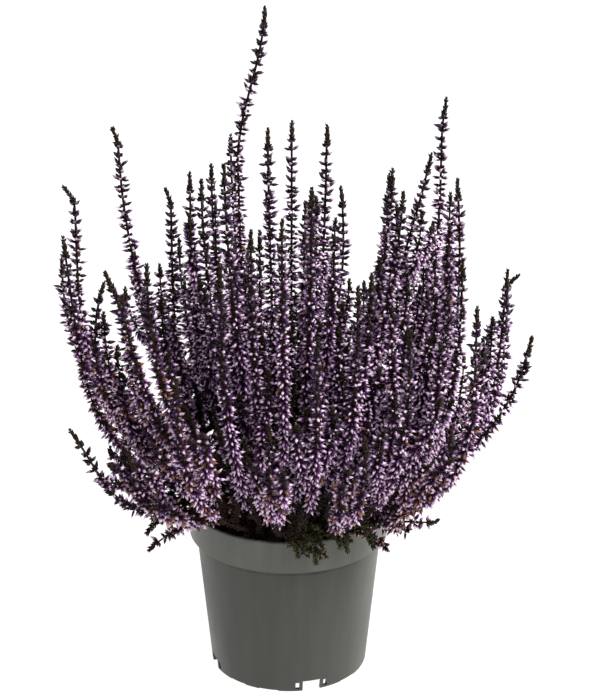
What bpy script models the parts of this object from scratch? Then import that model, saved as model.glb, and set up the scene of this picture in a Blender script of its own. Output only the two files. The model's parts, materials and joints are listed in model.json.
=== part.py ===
"""A potted heather: a plastic nursery pot, its compost, flowering spikes and green shoots.

Metres, +Z up. The origin is the centre of the pot's foot, on the surface it stands on.
The plant's front faces -Y. Driving dimensions come first.
"""
import math
import random

import bmesh
import bpy
from mathutils import Quaternion, Vector

MM = 0.001
SEED = 41

# Pot, a thin moulded shell with a collar, a raised floor and four notched feet
POT_HEIGHT = 0.106
RIM_RADIUS = 0.060
COLLAR_FOOT_Z = 0.0862
SHOULDER_Z = 0.0825
BODY_TOP_RADIUS = 0.0549
FOOT_RADIUS = 0.0467
FOOT_CHAMFER = 0.0008
FOOT_WIDTH = 0.0017
COLLAR_DRAFT = 0.0008
RIM_DROP = 0.0012
RIM_ROUND = 0.0007
WALL = 0.0014
FLOOR_Z = 0.0072
POT_SIDES = 36
POT_CREASE = math.radians(32)
CUTTER_LENGTH = 0.016
NOTCH_WIDTH = 0.011
NOTCH_HEIGHT = 0.0069
NOTCH_COUNT = 4
FIRST_NOTCH_ANGLE = math.radians(-73)
SLOT_WIDTH = 0.0024
SLOT_HEIGHT = 0.0044
SLOT_FOOT_Z = 0.0016
SLOT_ANGLE = math.radians(10.5)
SCALLOP_WIDTH = 0.012
SCALLOP_DEPTH = 0.0008
SCALLOP_ANGLES = (32, 58)
DRAIN_RADIUS = 0.003
DRAIN_SIDES = 6
DRAIN_RING_RADIUS = 0.028

# Compost, which fills the pot to a little below the rim
CLEAR = 0.0003
SOIL_Z = 0.0965
SOIL_RINGS = (0.047, 0.032, 0.016)
SOIL_SIDES = 18
SOIL_LUMP = 0.0011
SOIL_MOUND = 0.0025
SOIL_CREASE = math.radians(40)

# Stems, square in section, each in its own plain hole in the compost
STEM_RADIUS = 0.00135
HOLE_RADIUS = 0.0018
HOLE_HEIGHT = 0.03
ROOT_DEPTH = 0.010
BARE_NECK = 0.0035
BARE_LENGTH = 0.020
LOW_TIP_Z = 0.200
LOW_NECK = 0.0075
BASE_REACH = 0.041
REACH_POWER = 0.72
LAST_REACH = 0.130

# Flower spikes: buds raised in four ranks from a slim stem, leaf tufts below, a green tip
BUD_REACH = 0.0068
BUD_CORE = 0.0018
BUD_STEP = 0.0062
BUD_DROOP = -0.0030
BUD_LIFT = 0.0022
TOP_SWELL = 0.52
SWELL_SHARE = 0.4
TOP_CORE_SHARE = 0.6
TIP_STEPS = (0.0025, 0.0060, 0.0100, 0.0140)
TIP_REACH = (0.0013, 0.0018, 0.0021, 0.0024)
TIP_CORE = 0.0009
TIP_LIFT = 0.0008
TUFT_REACH = 0.0034
TUFT_STEP = 0.0135
TUFT_LIFT = 0.001
TWIST = math.radians(17)

# Spikes in millimetres: the tip's x, y and height, the length in flower, and how soon the
# stem swings outward, from 1 for a straight lean to 4 for a bowl-shaped arch
SPIKES = (
    # Tall spikes that make the outline seen from the front, left to right
    (-121, -8, 305, 150, 4.4),
    (-120, -36, 285, 150, 4.0),
    (-98, 28, 328, 165, 2.1),
    (-123, -50, 263, 115, 2.0),
    (-91, -76, 280, 140, 2.0),
    (-76, -96, 292, 150, 2.2),
    (-67, 2, 300, 155, 4.3),
    (-59, 74, 284, 140, 4.4),
    (-49, -16, 312, 165, 1.8),
    (-47, 101, 280, 130, 2.4),
    (-35, -50, 333, 180, 1.6),
    (-34, 56, 314, 150, 1.8),
    (-29, 10, 405, 230, 3.2),
    (-11, -43, 351, 190, 1.4),
    (-3, -99, 319, 160, 2.6),
    (2, 46, 326, 150, 1.8),
    (22, 5, 337, 170, 1.6),
    (13, -66, 325, 170, 2.0),
    (37, 60, 280, 130, 1.2),
    (60, 25, 304, 150, 1.7),
    (60, 81, 281, 130, 2.2),
    (64, -36, 312, 160, 1.5),
    (69, 0, 322, 175, 1.4),
    (90, 58, 336, 150, 3.8),
    (98, -38, 320, 160, 3.3),
    (96, -70, 285, 150, 3.2),
    (103, -93, 266, 140, 4.4),
    (128, 16, 242, 125, 4.6),
    (122, -18, 258, 130, 4.4),
    (130, -40, 226, 105, 2.5),
    # Spikes in front, whose tips show against the rest
    (-20, -84, 307, 165, 2.4),
    (-36, -112, 297, 155, 2.8),
    (38, -103, 282, 150, 2.8),
    (46, -72, 277, 130, 2.0),
    (66, -116, 262, 140, 3.2),
    (16, -126, 262, 140, 3.0),
    (-60, -122, 236, 125, 2.8),
    (-10, -134, 214, 110, 2.6),
    (42, -134, 206, 105, 2.6),
    # Low arching spikes round the rim
    (-99, -65, 180, 95, 5.2),
    (-88, -98, 182, 95, 2.8),
    (90, -103, 200, 105, 2.6),
    (114, 50, 197, 100, 4.2),
    (-120, 60, 190, 100, 2.2),
    # Spikes behind, kept under the outline seen from the front
    (-134, 40, 243, 125, 2.8),
    (-94, 80, 236, 125, 2.4),
    (-68, 116, 226, 120, 2.6),
    (-18, 98, 238, 130, 2.4),
    (-26, 130, 214, 110, 2.8),
    (10, 112, 252, 125, 2.8),
    (28, 134, 196, 100, 2.8),
    (58, 118, 228, 110, 2.6),
    (98, 90, 240, 120, 2.4),
)
# The upper stretch of some stems leans or hooks sideways: the share of the stem and how far
NODS = {
    0: (0.05, -6), 1: (0.45, -6), 2: (0.05, -3), 3: (0.60, 20), 4: (0.20, -9), 6: (0.05, -3),
    12: (0.30, 16), 18: (0.30, -6), 22: (0.60, 12), 23: (0.10, 2), 24: (0.40, -4),
    27: (0.05, 6), 28: (0.45, 3), 29: (0.50, 8), 39: (0.80, -24), 42: (0.45, 9),
}
NOD_POWER = 1.5
# Stems that grow upright again above their lean
SETTLED = (12,)

# Side spikes: the parent's place in the list above, the share of the stem where they fork,
# and the tip's offset from the fork in millimetres
SIDE_SPIKES = (
    (5, 0.36, (-16, -10, 78)),
    (27, 0.46, (6, -18, 70)),
    (31, 0.30, (12, -16, 84)),
    (33, 0.25, (-8, -22, 86)),
    (34, 0.32, (18, -4, 76)),
    (20, 0.35, (14, 8, 70)),
    (9, 0.35, (14, 6, 76)),
    (7, 0.35, (-16, 8, 72)),
)
SIDE_SWING = 0.6
SIDE_FORK_RISE = 0.010
SIDE_UPRIGHT = 0.030
SIDE_BARE = 0.014

# Green leafy shoots in millimetres: base, two points that the shoot bends by, and tip
GREEN_SHOOTS = (
    ((0, -50, 103), (0, -55, 121), (3, -73, 118), (5.5, -66, 101)),
    ((10.5, -48, 103), (11.5, -54, 128), (15, -74, 117), (16, -66.5, 97)),
    ((21, -45, 103), (23, -50, 121), (31, -68, 121), (34, -65.5, 104)),
    ((30.5, -40.5, 103), (32.6, -45, 126), (42, -61, 122), (49, -63, 105)),
    ((-44, -21.5, 103), (-48, -23, 126), (-67, -36, 123), (-82, -46, 106)),
)
SHOOT_TIP = 0.002
SHOOT_TIP_REACH = 0.0014
SHOOT_REACH = 0.0036
SHOOT_STEP = 0.0052
SHOOT_LIFT = 0.0014
SHOOT_BARE = 0.024
SHOOT_BARE_SHARES = (0.15, 0.45, 0.75)

POT_GREY_GREEN = (0.107, 0.112, 0.094, 1)
COMPOST_BROWN = (0.020, 0.012, 0.008, 1)
BUD_PURPLE = (0.300, 0.150, 0.340, 1)
LEAF_GREEN = (0.045, 0.062, 0.024, 1)


def clear_scene():
    for thing in list(bpy.data.objects):
        bpy.data.objects.remove(thing, do_unlink=True)


def make_material(name, colour, roughness):
    material = bpy.data.materials.new(name)
    material.use_nodes = True
    shader = material.node_tree.nodes["Principled BSDF"]
    shader.inputs["Base Color"].default_value = colour
    shader.inputs["Roughness"].default_value = roughness
    shader.inputs["Metallic"].default_value = 0.0
    return material


def object_from_bmesh(name, shape, material, collection=None):
    """Closes the mesh's normals outward and puts it in the scene as one object."""
    bmesh.ops.recalc_face_normals(shape, faces=shape.faces)
    mesh = bpy.data.meshes.new(name)
    shape.to_mesh(mesh)
    shape.free()
    mesh.materials.append(material)
    thing = bpy.data.objects.new(name, mesh)
    (collection or bpy.context.scene.collection).objects.link(thing)
    return thing


def apply_boolean(thing, collection, operation, solver="EXACT"):
    """Joins or cuts with everything in a collection, then removes what was used."""
    boolean = thing.modifiers.new("Join", "BOOLEAN")
    boolean.operand_type = "COLLECTION"
    boolean.collection = collection
    boolean.operation = operation
    boolean.solver = solver
    evaluated = thing.evaluated_get(bpy.context.evaluated_depsgraph_get())
    joined = bpy.data.meshes.new_from_object(evaluated)
    thing.modifiers.remove(boolean)
    spent = thing.data
    thing.data = joined
    bpy.data.meshes.remove(spent)
    for used in list(collection.objects):
        bpy.data.objects.remove(used, do_unlink=True)
    bpy.data.collections.remove(collection)


def tool_collection(name):
    collection = bpy.data.collections.new(name)
    bpy.context.scene.collection.children.link(collection)
    return collection


# Turned shapes
def turned(profile, sides, lift=None):
    """Turns a closed profile of (radius, height) whose first and last points lie on the axis."""
    shape = bmesh.new()
    poles = [shape.verts.new((0, 0, profile[0][1])), shape.verts.new((0, 0, profile[-1][1]))]
    if lift:
        poles[1].co.z += lift(0, 0)
    rings = []
    for radius, height in profile[1:-1]:
        ring = []
        for side in range(sides):
            angle = math.tau * side / sides
            x = radius * math.cos(angle)
            y = radius * math.sin(angle)
            raised = lift(x, y) if lift and height >= SOIL_Z else 0
            ring.append(shape.verts.new((x, y, height + raised)))
        rings.append(ring)
    for side in range(sides):
        after = (side + 1) % sides
        shape.faces.new((poles[0], rings[0][side], rings[0][after]))
        shape.faces.new((poles[1], rings[-1][after], rings[-1][side]))
        for low, high in zip(rings, rings[1:]):
            shape.faces.new((low[side], low[after], high[after], high[side]))
    bmesh.ops.triangulate(shape, faces=shape.faces)
    return shape


def inner_radius(height, offset):
    """The pot's inner wall at a height, less an offset."""
    if height >= COLLAR_FOOT_Z:
        return RIM_RADIUS - COLLAR_DRAFT - WALL - offset
    share = height / SHOULDER_Z
    return FOOT_RADIUS + (BODY_TOP_RADIUS - FOOT_RADIUS) * share - WALL - offset


def add_box(name, size, place, turn, material, collection):
    shape = bmesh.new()
    bmesh.ops.create_cube(shape, size=1)
    for corner in shape.verts:
        corner.co = Vector((corner.co.x * size[0], corner.co.y * size[1], corner.co.z * size[2]))
        corner.co += Vector(place)
        corner.co.rotate(Quaternion((0, 0, 1), turn))
    return object_from_bmesh(name, shape, material, collection)


def pot_cutters(material):
    """Notches, drainage slots and shallow scallops round the foot, and drain holes in the floor."""
    cutters = tool_collection("pot cutters")
    for notch in range(NOTCH_COUNT):
        angle = FIRST_NOTCH_ANGLE + math.tau * notch / NOTCH_COUNT
        size = (CUTTER_LENGTH, NOTCH_WIDTH, 2 * NOTCH_HEIGHT)
        add_box("notch", size, (FOOT_RADIUS, 0, 0), angle, material, cutters)
        for side in (-1, 1):
            size = (CUTTER_LENGTH, SLOT_WIDTH, SLOT_HEIGHT)
            place = (FOOT_RADIUS, 0, SLOT_FOOT_Z + SLOT_HEIGHT / 2)
            add_box("slot", size, place, angle + side * SLOT_ANGLE, material, cutters)
        for turn in SCALLOP_ANGLES:
            size = (CUTTER_LENGTH, SCALLOP_WIDTH, 2 * SCALLOP_DEPTH)
            add_box("scallop", size, (FOOT_RADIUS, 0, 0), angle + math.radians(turn), material, cutters)
        hole = bmesh.new()
        bmesh.ops.create_cone(hole, cap_ends=True, segments=DRAIN_SIDES, radius1=DRAIN_RADIUS,
                              radius2=DRAIN_RADIUS, depth=FLOOR_Z)
        centre = Vector((DRAIN_RING_RADIUS, 0, FLOOR_Z + WALL / 2))
        centre.rotate(Quaternion((0, 0, 1), angle))
        for vertex in hole.verts:
            vertex.co += centre
        object_from_bmesh("drain", hole, material, cutters)
    return cutters


def make_pot():
    material = make_material("pot plastic", POT_GREY_GREEN, 0.5)
    floor_top = FLOOR_Z + WALL
    rim_inner = inner_radius(POT_HEIGHT, 0)
    profile = (
        (0, FLOOR_Z),
        (inner_radius(FLOOR_Z, 0), FLOOR_Z),
        (FOOT_RADIUS - FOOT_CHAMFER - FOOT_WIDTH, 0),
        (FOOT_RADIUS - FOOT_CHAMFER, 0),
        (FOOT_RADIUS, FOOT_CHAMFER),
        (BODY_TOP_RADIUS, SHOULDER_Z),
        (RIM_RADIUS - COLLAR_DRAFT, COLLAR_FOOT_Z),
        (RIM_RADIUS, POT_HEIGHT - RIM_DROP),
        (RIM_RADIUS - RIM_ROUND, POT_HEIGHT),
        (rim_inner + RIM_ROUND, POT_HEIGHT),
        (rim_inner, COLLAR_FOOT_Z + CLEAR),
        (inner_radius(SHOULDER_Z, 0), SHOULDER_Z),
        (inner_radius(floor_top, 0), floor_top),
        (0, floor_top),
    )
    pot = object_from_bmesh("pot", turned(profile, POT_SIDES), material)
    apply_boolean(pot, pot_cutters(material), "DIFFERENCE")
    pot.data.shade_smooth()
    pot.data.set_sharp_from_angle(angle=POT_CREASE)


def soil_lump(x, y):
    """The crumbly top of the compost, a low mound with small lumps."""
    reach = math.hypot(x, y) / SOIL_RINGS[0]
    waves = math.sin(190 * x + 1.3) * math.cos(170 * y) + 0.6 * math.sin(330 * y - 210 * x)
    return SOIL_MOUND * max(0, 1 - reach * reach) + SOIL_LUMP * (1 + waves / 1.6) / 2


def make_soil(bases):
    material = make_material("compost", COMPOST_BROWN, 0.95)
    foot_z = FLOOR_Z + WALL + CLEAR
    top = inner_radius(POT_HEIGHT, CLEAR + 0.0002)
    profile = [
        (0, foot_z),
        (inner_radius(foot_z, CLEAR), foot_z),
        (inner_radius(SHOULDER_Z, CLEAR), SHOULDER_Z + CLEAR),
        (top, COLLAR_FOOT_Z + 3 * CLEAR),
        (top, SOIL_Z),
    ]
    profile += [(radius, SOIL_Z) for radius in SOIL_RINGS]
    profile.append((0, SOIL_Z))
    soil = object_from_bmesh("soil", turned(profile, SOIL_SIDES, soil_lump), material)
    cutters = tool_collection("stem holes")
    hole_foot_z = SOIL_Z - ROOT_DEPTH - CLEAR
    for base in bases:
        hole = bmesh.new()
        bmesh.ops.create_cone(hole, cap_ends=True, segments=4, radius1=HOLE_RADIUS,
                              radius2=HOLE_RADIUS, depth=HOLE_HEIGHT)
        for vertex in hole.verts:
            vertex.co += Vector((base.x, base.y, hole_foot_z + HOLE_HEIGHT / 2))
        object_from_bmesh("stem hole", hole, material, cutters)
    apply_boolean(soil, cutters, "DIFFERENCE")
    soil.data.shade_smooth()
    soil.data.set_sharp_from_angle(angle=SOIL_CREASE)


# Paths of the stems
def spike_base(tip):
    """Stems leave the compost close together and in the direction of their tips."""
    reach = math.hypot(tip.x, tip.y)
    base_reach = BASE_REACH * (reach / LAST_REACH) ** REACH_POWER
    return Vector((tip.x, tip.y, 0)) * (min(base_reach, BASE_REACH) / reach)


def spike_path(number, points=48):
    """A stem rises from its hole, swings outward above the rim and then grows upright."""
    x, y, z, _, swing_power = SPIKES[number]
    nod_share, nod = NODS.get(number, (1, 0))
    tip = Vector((x, y, z)) * MM
    base = spike_base(tip)
    start = SOIL_Z + SOIL_MOUND + (LOW_NECK if tip.z < LOW_TIP_Z else BARE_NECK)
    path = [base + Vector((0, 0, SOIL_Z - ROOT_DEPTH))]
    for point in range(points + 1):
        share = point / points
        place = base.lerp(Vector((tip.x, tip.y, 0)), 1 - (1 - share) ** swing_power)
        lean = max(0, (share - 1 + nod_share) / nod_share)
        bend = lean * lean * (3 - 2 * lean) if number in SETTLED else lean ** NOD_POWER
        place.x += nod * MM * bend
        place.z = start + (tip.z - start) * share
        path.append(place)
    return path


def bezier_path(a, b, c, d, points=24):
    path = []
    for point in range(points + 1):
        t = point / points
        s = 1 - t
        path.append(a * s ** 3 + b * 3 * s * s * t + c * 3 * s * t * t + d * t ** 3)
    return path


class Walk:
    """Places and directions at lengths measured back from a path's tip."""

    def __init__(self, path):
        self.path = path[::-1]
        self.lengths = [0]
        for before, after in zip(self.path, self.path[1:]):
            self.lengths.append(self.lengths[-1] + (after - before).length)
        self.length = self.lengths[-1]

    def at(self, length):
        length = min(max(length, 0), self.length)
        for index in range(1, len(self.path)):
            if self.lengths[index] >= length:
                break
        stretch = self.lengths[index] - self.lengths[index - 1]
        share = (length - self.lengths[index - 1]) / stretch
        place = self.path[index - 1].lerp(self.path[index], share)
        return place, (self.path[index - 1] - self.path[index]).normalized()


# Spikes, shoots and their buds
def spike_rings(walk, flowering, dice, root):
    """Rings from tip to root: length from the tip, how far buds reach, the core, the slide."""
    rings = []
    for length, reach in zip(TIP_STEPS, TIP_REACH):
        rings.append((length, reach, TIP_CORE, TIP_LIFT))
    length = TIP_STEPS[-1] + BUD_STEP * 0.8
    while length < flowering:
        share = (length - TIP_STEPS[-1]) / (flowering - TIP_STEPS[-1])
        swell = TOP_SWELL + (1 - TOP_SWELL) * min(1, share / SWELL_SHARE)
        slide = BUD_LIFT + (BUD_DROOP - BUD_LIFT) * share
        reach = BUD_REACH * swell * dice.uniform(0.86, 1.08)
        core = BUD_CORE * (TOP_CORE_SHARE + (1 - TOP_CORE_SHARE) * share)
        rings.append((length, reach, core, slide))
        length += BUD_STEP * dice.uniform(0.93, 1.07)
    neck = walk.length - (ROOT_DEPTH + SOIL_MOUND + MM if root else 2 * MM)
    while length < neck - BARE_LENGTH:
        rings.append((length, TUFT_REACH * dice.uniform(0.8, 1.1), STEM_RADIUS, TUFT_LIFT))
        length += TUFT_STEP
    if root:
        rings.append(((length + neck) / 2, STEM_RADIUS, STEM_RADIUS, 0))
    rings.append((neck, STEM_RADIUS, STEM_RADIUS, 0))
    if root:
        rings.append((walk.length - ROOT_DEPTH, STEM_RADIUS, STEM_RADIUS, 0))
        rings.append((walk.length, STEM_RADIUS, STEM_RADIUS, 0))
    return rings


def square_frame(out):
    """The root's corners: upright, and square to the hole by the least turn from above."""
    quarter = round(math.atan2(out.y, out.x) / (math.tau / 4)) * math.tau / 4
    across = quarter + math.tau / 4
    return Vector((math.cos(quarter), math.sin(quarter), 0)), Vector((math.cos(across), math.sin(across), 0))


def raised_tube(walk, rings, rooted):
    """A closed square tube whose corners, turn about, are drawn out into pointed buds."""
    shape = bmesh.new()
    tip = shape.verts.new(walk.at(0)[0])
    loops = []
    side = walk.at(0)[1].orthogonal()
    turn = 0
    for index, (length, reach, core, slide) in enumerate(rings):
        place, along = walk.at(length)
        side = (side - along * side.dot(along)).normalized()
        across = along.cross(side)
        if reach != core:
            turn += TWIST
        first = side * math.cos(turn) + across * math.sin(turn)
        second = along.cross(first)
        if rooted and index >= len(rings) - 2:
            first, second = square_frame(first)
        loop = []
        for corner in range(4):
            angle = math.tau * corner / 4
            out = first * math.cos(angle) + second * math.sin(angle)
            raised = (corner + index) % 2 == 0 and reach != core
            radius = reach if raised else core
            loop.append(shape.verts.new(place + out * radius + along * (slide if raised else 0)))
        loops.append(loop)
    for corner in range(4):
        shape.faces.new((tip, loops[0][corner], loops[0][(corner + 1) % 4]))
    for index, (upper, lower) in enumerate(zip(loops, loops[1:])):
        for corner in range(4):
            after = (corner + 1) % 4
            if (corner + index) % 2 == 0:
                shape.faces.new((upper[corner], lower[corner], upper[after]))
                shape.faces.new((upper[after], lower[corner], lower[after]))
            else:
                shape.faces.new((upper[corner], lower[corner], lower[after]))
                shape.faces.new((upper[corner], lower[after], upper[after]))
    shape.faces.new(loops[-1])
    bmesh.ops.triangulate(shape, faces=[face for face in shape.faces if len(face.verts) > 3])
    return shape


def make_spikes(materials):
    bases = []
    for number, (x, y, z, flowering, _) in enumerate(SPIKES):
        dice = random.Random(SEED + number)
        walk = Walk(spike_path(number))
        rings = spike_rings(walk, flowering * MM, dice, True)
        name = f"flower_spike_{number + 1:02d}"
        spike = object_from_bmesh(name, raised_tube(walk, rings, True), materials["buds"])
        add_side_spikes(spike, number, walk, materials["buds"])
        bases.append(spike_base(Vector((x, y, z)) * MM))
    return bases


def side_path(walk, share, offset):
    """A side spike leaves its parent outward and soon grows upright beside it."""
    fork = walk.at(walk.length * (1 - share))[0]
    tip = fork + Vector(offset) * MM
    out = Vector((offset[0], offset[1], 0)) * MM
    leaving = fork + out * SIDE_SWING + Vector((0, 0, SIDE_FORK_RISE))
    return bezier_path(fork, leaving, tip - Vector((0, 0, SIDE_UPRIGHT)), tip)


def add_side_spikes(spike, number, walk, material):
    sides = [row for row in SIDE_SPIKES if row[0] == number]
    if not sides:
        return
    collection = tool_collection(f"side spikes {number}")
    for parent, share, offset in sides:
        dice = random.Random(SEED + 100 + parent)
        side_walk = Walk(side_path(walk, share, offset))
        rings = spike_rings(side_walk, side_walk.length - SIDE_BARE, dice, False)
        object_from_bmesh("side spike", raised_tube(side_walk, rings, False), material, collection)
    apply_boolean(spike, collection, "UNION", "MANIFOLD")


def make_green_shoots(materials):
    bases = []
    for number, points in enumerate(GREEN_SHOOTS):
        dice = random.Random(SEED + 200 + number)
        a, b, c, d = (Vector(point) * MM for point in points)
        root = Vector((a.x, a.y, SOIL_Z - ROOT_DEPTH))
        walk = Walk([root] + bezier_path(a, b, c, d))
        rings = [(SHOOT_TIP, SHOOT_TIP_REACH, TIP_CORE, TIP_LIFT)]
        length = SHOOT_TIP + SHOOT_STEP * 0.7
        last = walk.length - ROOT_DEPTH - SHOOT_BARE
        while length < last:
            rings.append((length, SHOOT_REACH * dice.uniform(0.75, 1.1), TIP_CORE, SHOOT_LIFT))
            length += SHOOT_STEP
        for share in SHOOT_BARE_SHARES:
            bare = last + (walk.length - ROOT_DEPTH - last) * share
            rings.append((bare, STEM_RADIUS, STEM_RADIUS, 0))
        rings.append((walk.length - ROOT_DEPTH, STEM_RADIUS, STEM_RADIUS, 0))
        rings.append((walk.length, STEM_RADIUS, STEM_RADIUS, 0))
        name = f"green_shoot_{number + 1}"
        object_from_bmesh(name, raised_tube(walk, rings, True), materials["leaves"])
        bases.append(Vector((a.x, a.y, 0)))
    return bases


def main():
    clear_scene()
    materials = {
        "buds": make_material("heather buds", BUD_PURPLE, 0.7),
        "leaves": make_material("heather leaves", LEAF_GREEN, 0.7),
    }
    make_pot()
    bases = make_spikes(materials)
    bases += make_green_shoots(materials)
    make_soil(bases)


main()
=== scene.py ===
# %% [markdown]
# # A potted heather
# The object is a bushy heather in bud, in the thin plastic pot that it was grown in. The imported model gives
# every stem its place and its rough form: a slim stem whose corners are drawn out into large pointed buds.
# This script keeps each stem where it is and grows the real thing on it: bark, scale leaves and hundreds of
# small buds on every spike, then a finer pot and a crumbly compost.
#
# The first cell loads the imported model, which stays fixed. All that follows is placed in its frame, in
# metres.

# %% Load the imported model
import json
import math
import random

import bmesh
import bpy
from mathutils import Matrix, Quaternion, Vector, noise

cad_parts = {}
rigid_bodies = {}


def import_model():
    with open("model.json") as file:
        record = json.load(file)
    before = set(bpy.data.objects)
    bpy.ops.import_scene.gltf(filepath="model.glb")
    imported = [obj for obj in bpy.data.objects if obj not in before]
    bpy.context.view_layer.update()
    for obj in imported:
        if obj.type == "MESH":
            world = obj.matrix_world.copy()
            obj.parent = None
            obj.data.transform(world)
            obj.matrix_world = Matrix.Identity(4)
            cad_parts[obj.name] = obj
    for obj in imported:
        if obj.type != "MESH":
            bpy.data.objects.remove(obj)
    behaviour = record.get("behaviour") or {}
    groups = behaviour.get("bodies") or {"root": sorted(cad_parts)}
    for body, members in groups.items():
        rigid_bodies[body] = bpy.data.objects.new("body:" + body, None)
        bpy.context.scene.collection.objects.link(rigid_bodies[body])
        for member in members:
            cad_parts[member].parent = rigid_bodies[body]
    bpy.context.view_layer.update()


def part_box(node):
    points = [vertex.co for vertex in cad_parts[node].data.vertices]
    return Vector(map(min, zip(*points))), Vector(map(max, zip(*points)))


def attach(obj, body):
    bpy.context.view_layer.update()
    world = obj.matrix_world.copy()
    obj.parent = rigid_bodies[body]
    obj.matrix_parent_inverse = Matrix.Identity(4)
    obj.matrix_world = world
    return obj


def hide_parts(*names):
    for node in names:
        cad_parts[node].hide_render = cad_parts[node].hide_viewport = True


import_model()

MM = 0.001


def between(ends, share):
    """The number at a share of the way from one end to the other."""
    return ends[0] + (ends[1] - ends[0]) * share


# %% [markdown]
# ## The camera
# The photograph looks slightly down on the plant from the front. A long lens from 1.7 m away keeps the pot's
# sides nearly straight, as they are there. The pot's rim, its step and its foot are ellipses in the picture,
# and their widths and depths together give the distance, the height and the lens.

# %% Camera
CAMERA_PLACE = Vector((0.00676, -1.5, 0.843))
CAMERA_DIP = 0.404
CAMERA_LENS = 143.8
CAMERA_SIGHT = 50


def link(thing):
    bpy.context.scene.collection.objects.link(thing)
    return thing


bpy.context.scene.view_settings.view_transform = "Standard"
camera = link(bpy.data.objects.new("camera", bpy.data.cameras.new("camera")))
camera.location = CAMERA_PLACE
camera.rotation_euler = (math.pi / 2 - CAMERA_DIP, 0, 0)
camera.data.lens = CAMERA_LENS
camera.data.clip_end = CAMERA_SIGHT
bpy.context.scene.camera = camera
print("camera at", tuple(camera.location), "looks down", round(math.degrees(CAMERA_DIP), 1), "degrees")

# %% [markdown]
# ## A floor and soft light
# A white floor that runs past the picture's edge does two jobs: it is the plain background, and it throws
# light up under the leaves as a photographer's light table does. Its light is its own, so no shadow shows on
# it. A wide sun high on the right makes the buds' outer ends bright and leaves the bush dark inside. A lamp
# behind on the right draws a thin light edge down the pot, and one on the left opens the shadows a little.

# %% Floor, lamps and sky
FLOOR_REACH = 20.0
FLOOR_GREY = (0.1, 0.1, 0.1, 1)
FLOOR_GLOW = 1.02
FLOOR_ROUGHNESS = 0.9
WHITE = (1, 1, 1, 1)
SUN_STRENGTH = 4.05
SUN_WIDTH = math.radians(34)
SUN_HEIGHT = math.radians(58)
SUN_SIDE = math.radians(50)
LAMPS = {
    # name: place, size across in metres, power in watts, colour
    "left": ((-1.3, -0.9, 0.7), 0.8, 1, (0.96, 0.97, 1.0)),
    "behind": ((1.1, 0.7, 0.5), 0.6, 20, (1.0, 0.95, 0.95)),
}
LAMP_TARGET = (0, 0, 0.2)
SKY_STRENGTH = 0.10


def aim(thing, target):
    thing.rotation_euler = (Vector(target) - thing.location).to_track_quat("-Z", "Y").to_euler()


def set_values(node, values):
    for name, value in values.items():
        node.inputs[name].default_value = value


floor_mesh = bpy.data.meshes.new("floor")
floor_corners = [(x * FLOOR_REACH, y * FLOOR_REACH, 0) for x, y in ((-1, -1), (1, -1), (1, 1), (-1, 1))]
floor_mesh.from_pydata(floor_corners, [], [(0, 1, 2, 3)])
floor = link(bpy.data.objects.new("floor", floor_mesh))
floor_white = bpy.data.materials.new("floor white")
floor_white.use_nodes = True
set_values(floor_white.node_tree.nodes["Principled BSDF"], {
    "Base Color": FLOOR_GREY, "Roughness": FLOOR_ROUGHNESS, "Emission Color": WHITE,
    "Emission Strength": FLOOR_GLOW})
floor_mesh.materials.append(floor_white)

for lamp_name, (lamp_place, lamp_size, lamp_power, lamp_colour) in LAMPS.items():
    lamp = link(bpy.data.objects.new(lamp_name, bpy.data.lights.new(lamp_name, "AREA")))
    lamp.data.size = lamp_size
    lamp.data.energy = lamp_power
    lamp.data.color = lamp_colour
    lamp.location = lamp_place
    aim(lamp, LAMP_TARGET)

sun = link(bpy.data.objects.new("sun", bpy.data.lights.new("sun", "SUN")))
sun.data.energy = SUN_STRENGTH
sun.data.angle = SUN_WIDTH
sun.location = Vector((math.sin(SUN_SIDE), -math.cos(SUN_SIDE), math.tan(SUN_HEIGHT)))
aim(sun, (0, 0, 0))

sky = bpy.data.worlds.new("studio")
sky.use_nodes = True
set_values(sky.node_tree.nodes["Background"], {"Color": WHITE, "Strength": SKY_STRENGTH})
bpy.context.scene.world = sky
print("lamps:", ", ".join(LAMPS))

# %% [markdown]
# ## Writing node trees as sums
# The materials and the plant's growth are node trees. Wiring them node by node is long, so one small class
# stands for an output socket. A sum written with it, such as `1 - mask`, adds the Math nodes, or for vectors
# the Vector Math nodes. A second class adds any other node from its type, its settings and its sockets.


# %% Wires
def join(tree, target, value):
    """Links a wire to a socket, or sets the socket's own value."""
    if isinstance(value, Wire):
        tree.links.new(value.socket, target)
    else:
        target.default_value = value


def feed(tree, node, sockets):
    """Puts wires or values into a node's sockets, which are given by number or by name."""
    for name, value in sockets.items():
        if isinstance(name, int):
            target = node.inputs[name]
        else:
            target = next(socket for socket in node.inputs if socket.name == name and socket.enabled)
        join(tree, target, value)


def worked(operation, *values):
    """Adds the node of one sum: Vector Math where any value is a vector, or else Math."""
    wires = [value for value in values if isinstance(value, Wire)]
    tree = wires[0].tree
    vector = "VECTOR" in [wire.socket.type for wire in wires] or tuple in [type(value) for value in values]
    node = tree.nodes.new("ShaderNodeVectorMath" if vector else "ShaderNodeMath")
    node.operation = operation
    for target, value in zip(node.inputs, values):
        if vector and isinstance(value, (int, float)):
            value = (value, value, value)
        join(tree, target, value)
    return Wire(tree, node.outputs[0])


def sum_of(operation, swapped=False):
    """A method for one operation. Swapped, the wire is the right side of the sum."""
    def method(self, *others):
        sides = (self, *others)
        return worked(operation, *(sides[::-1] if swapped else sides))
    return method


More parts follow.
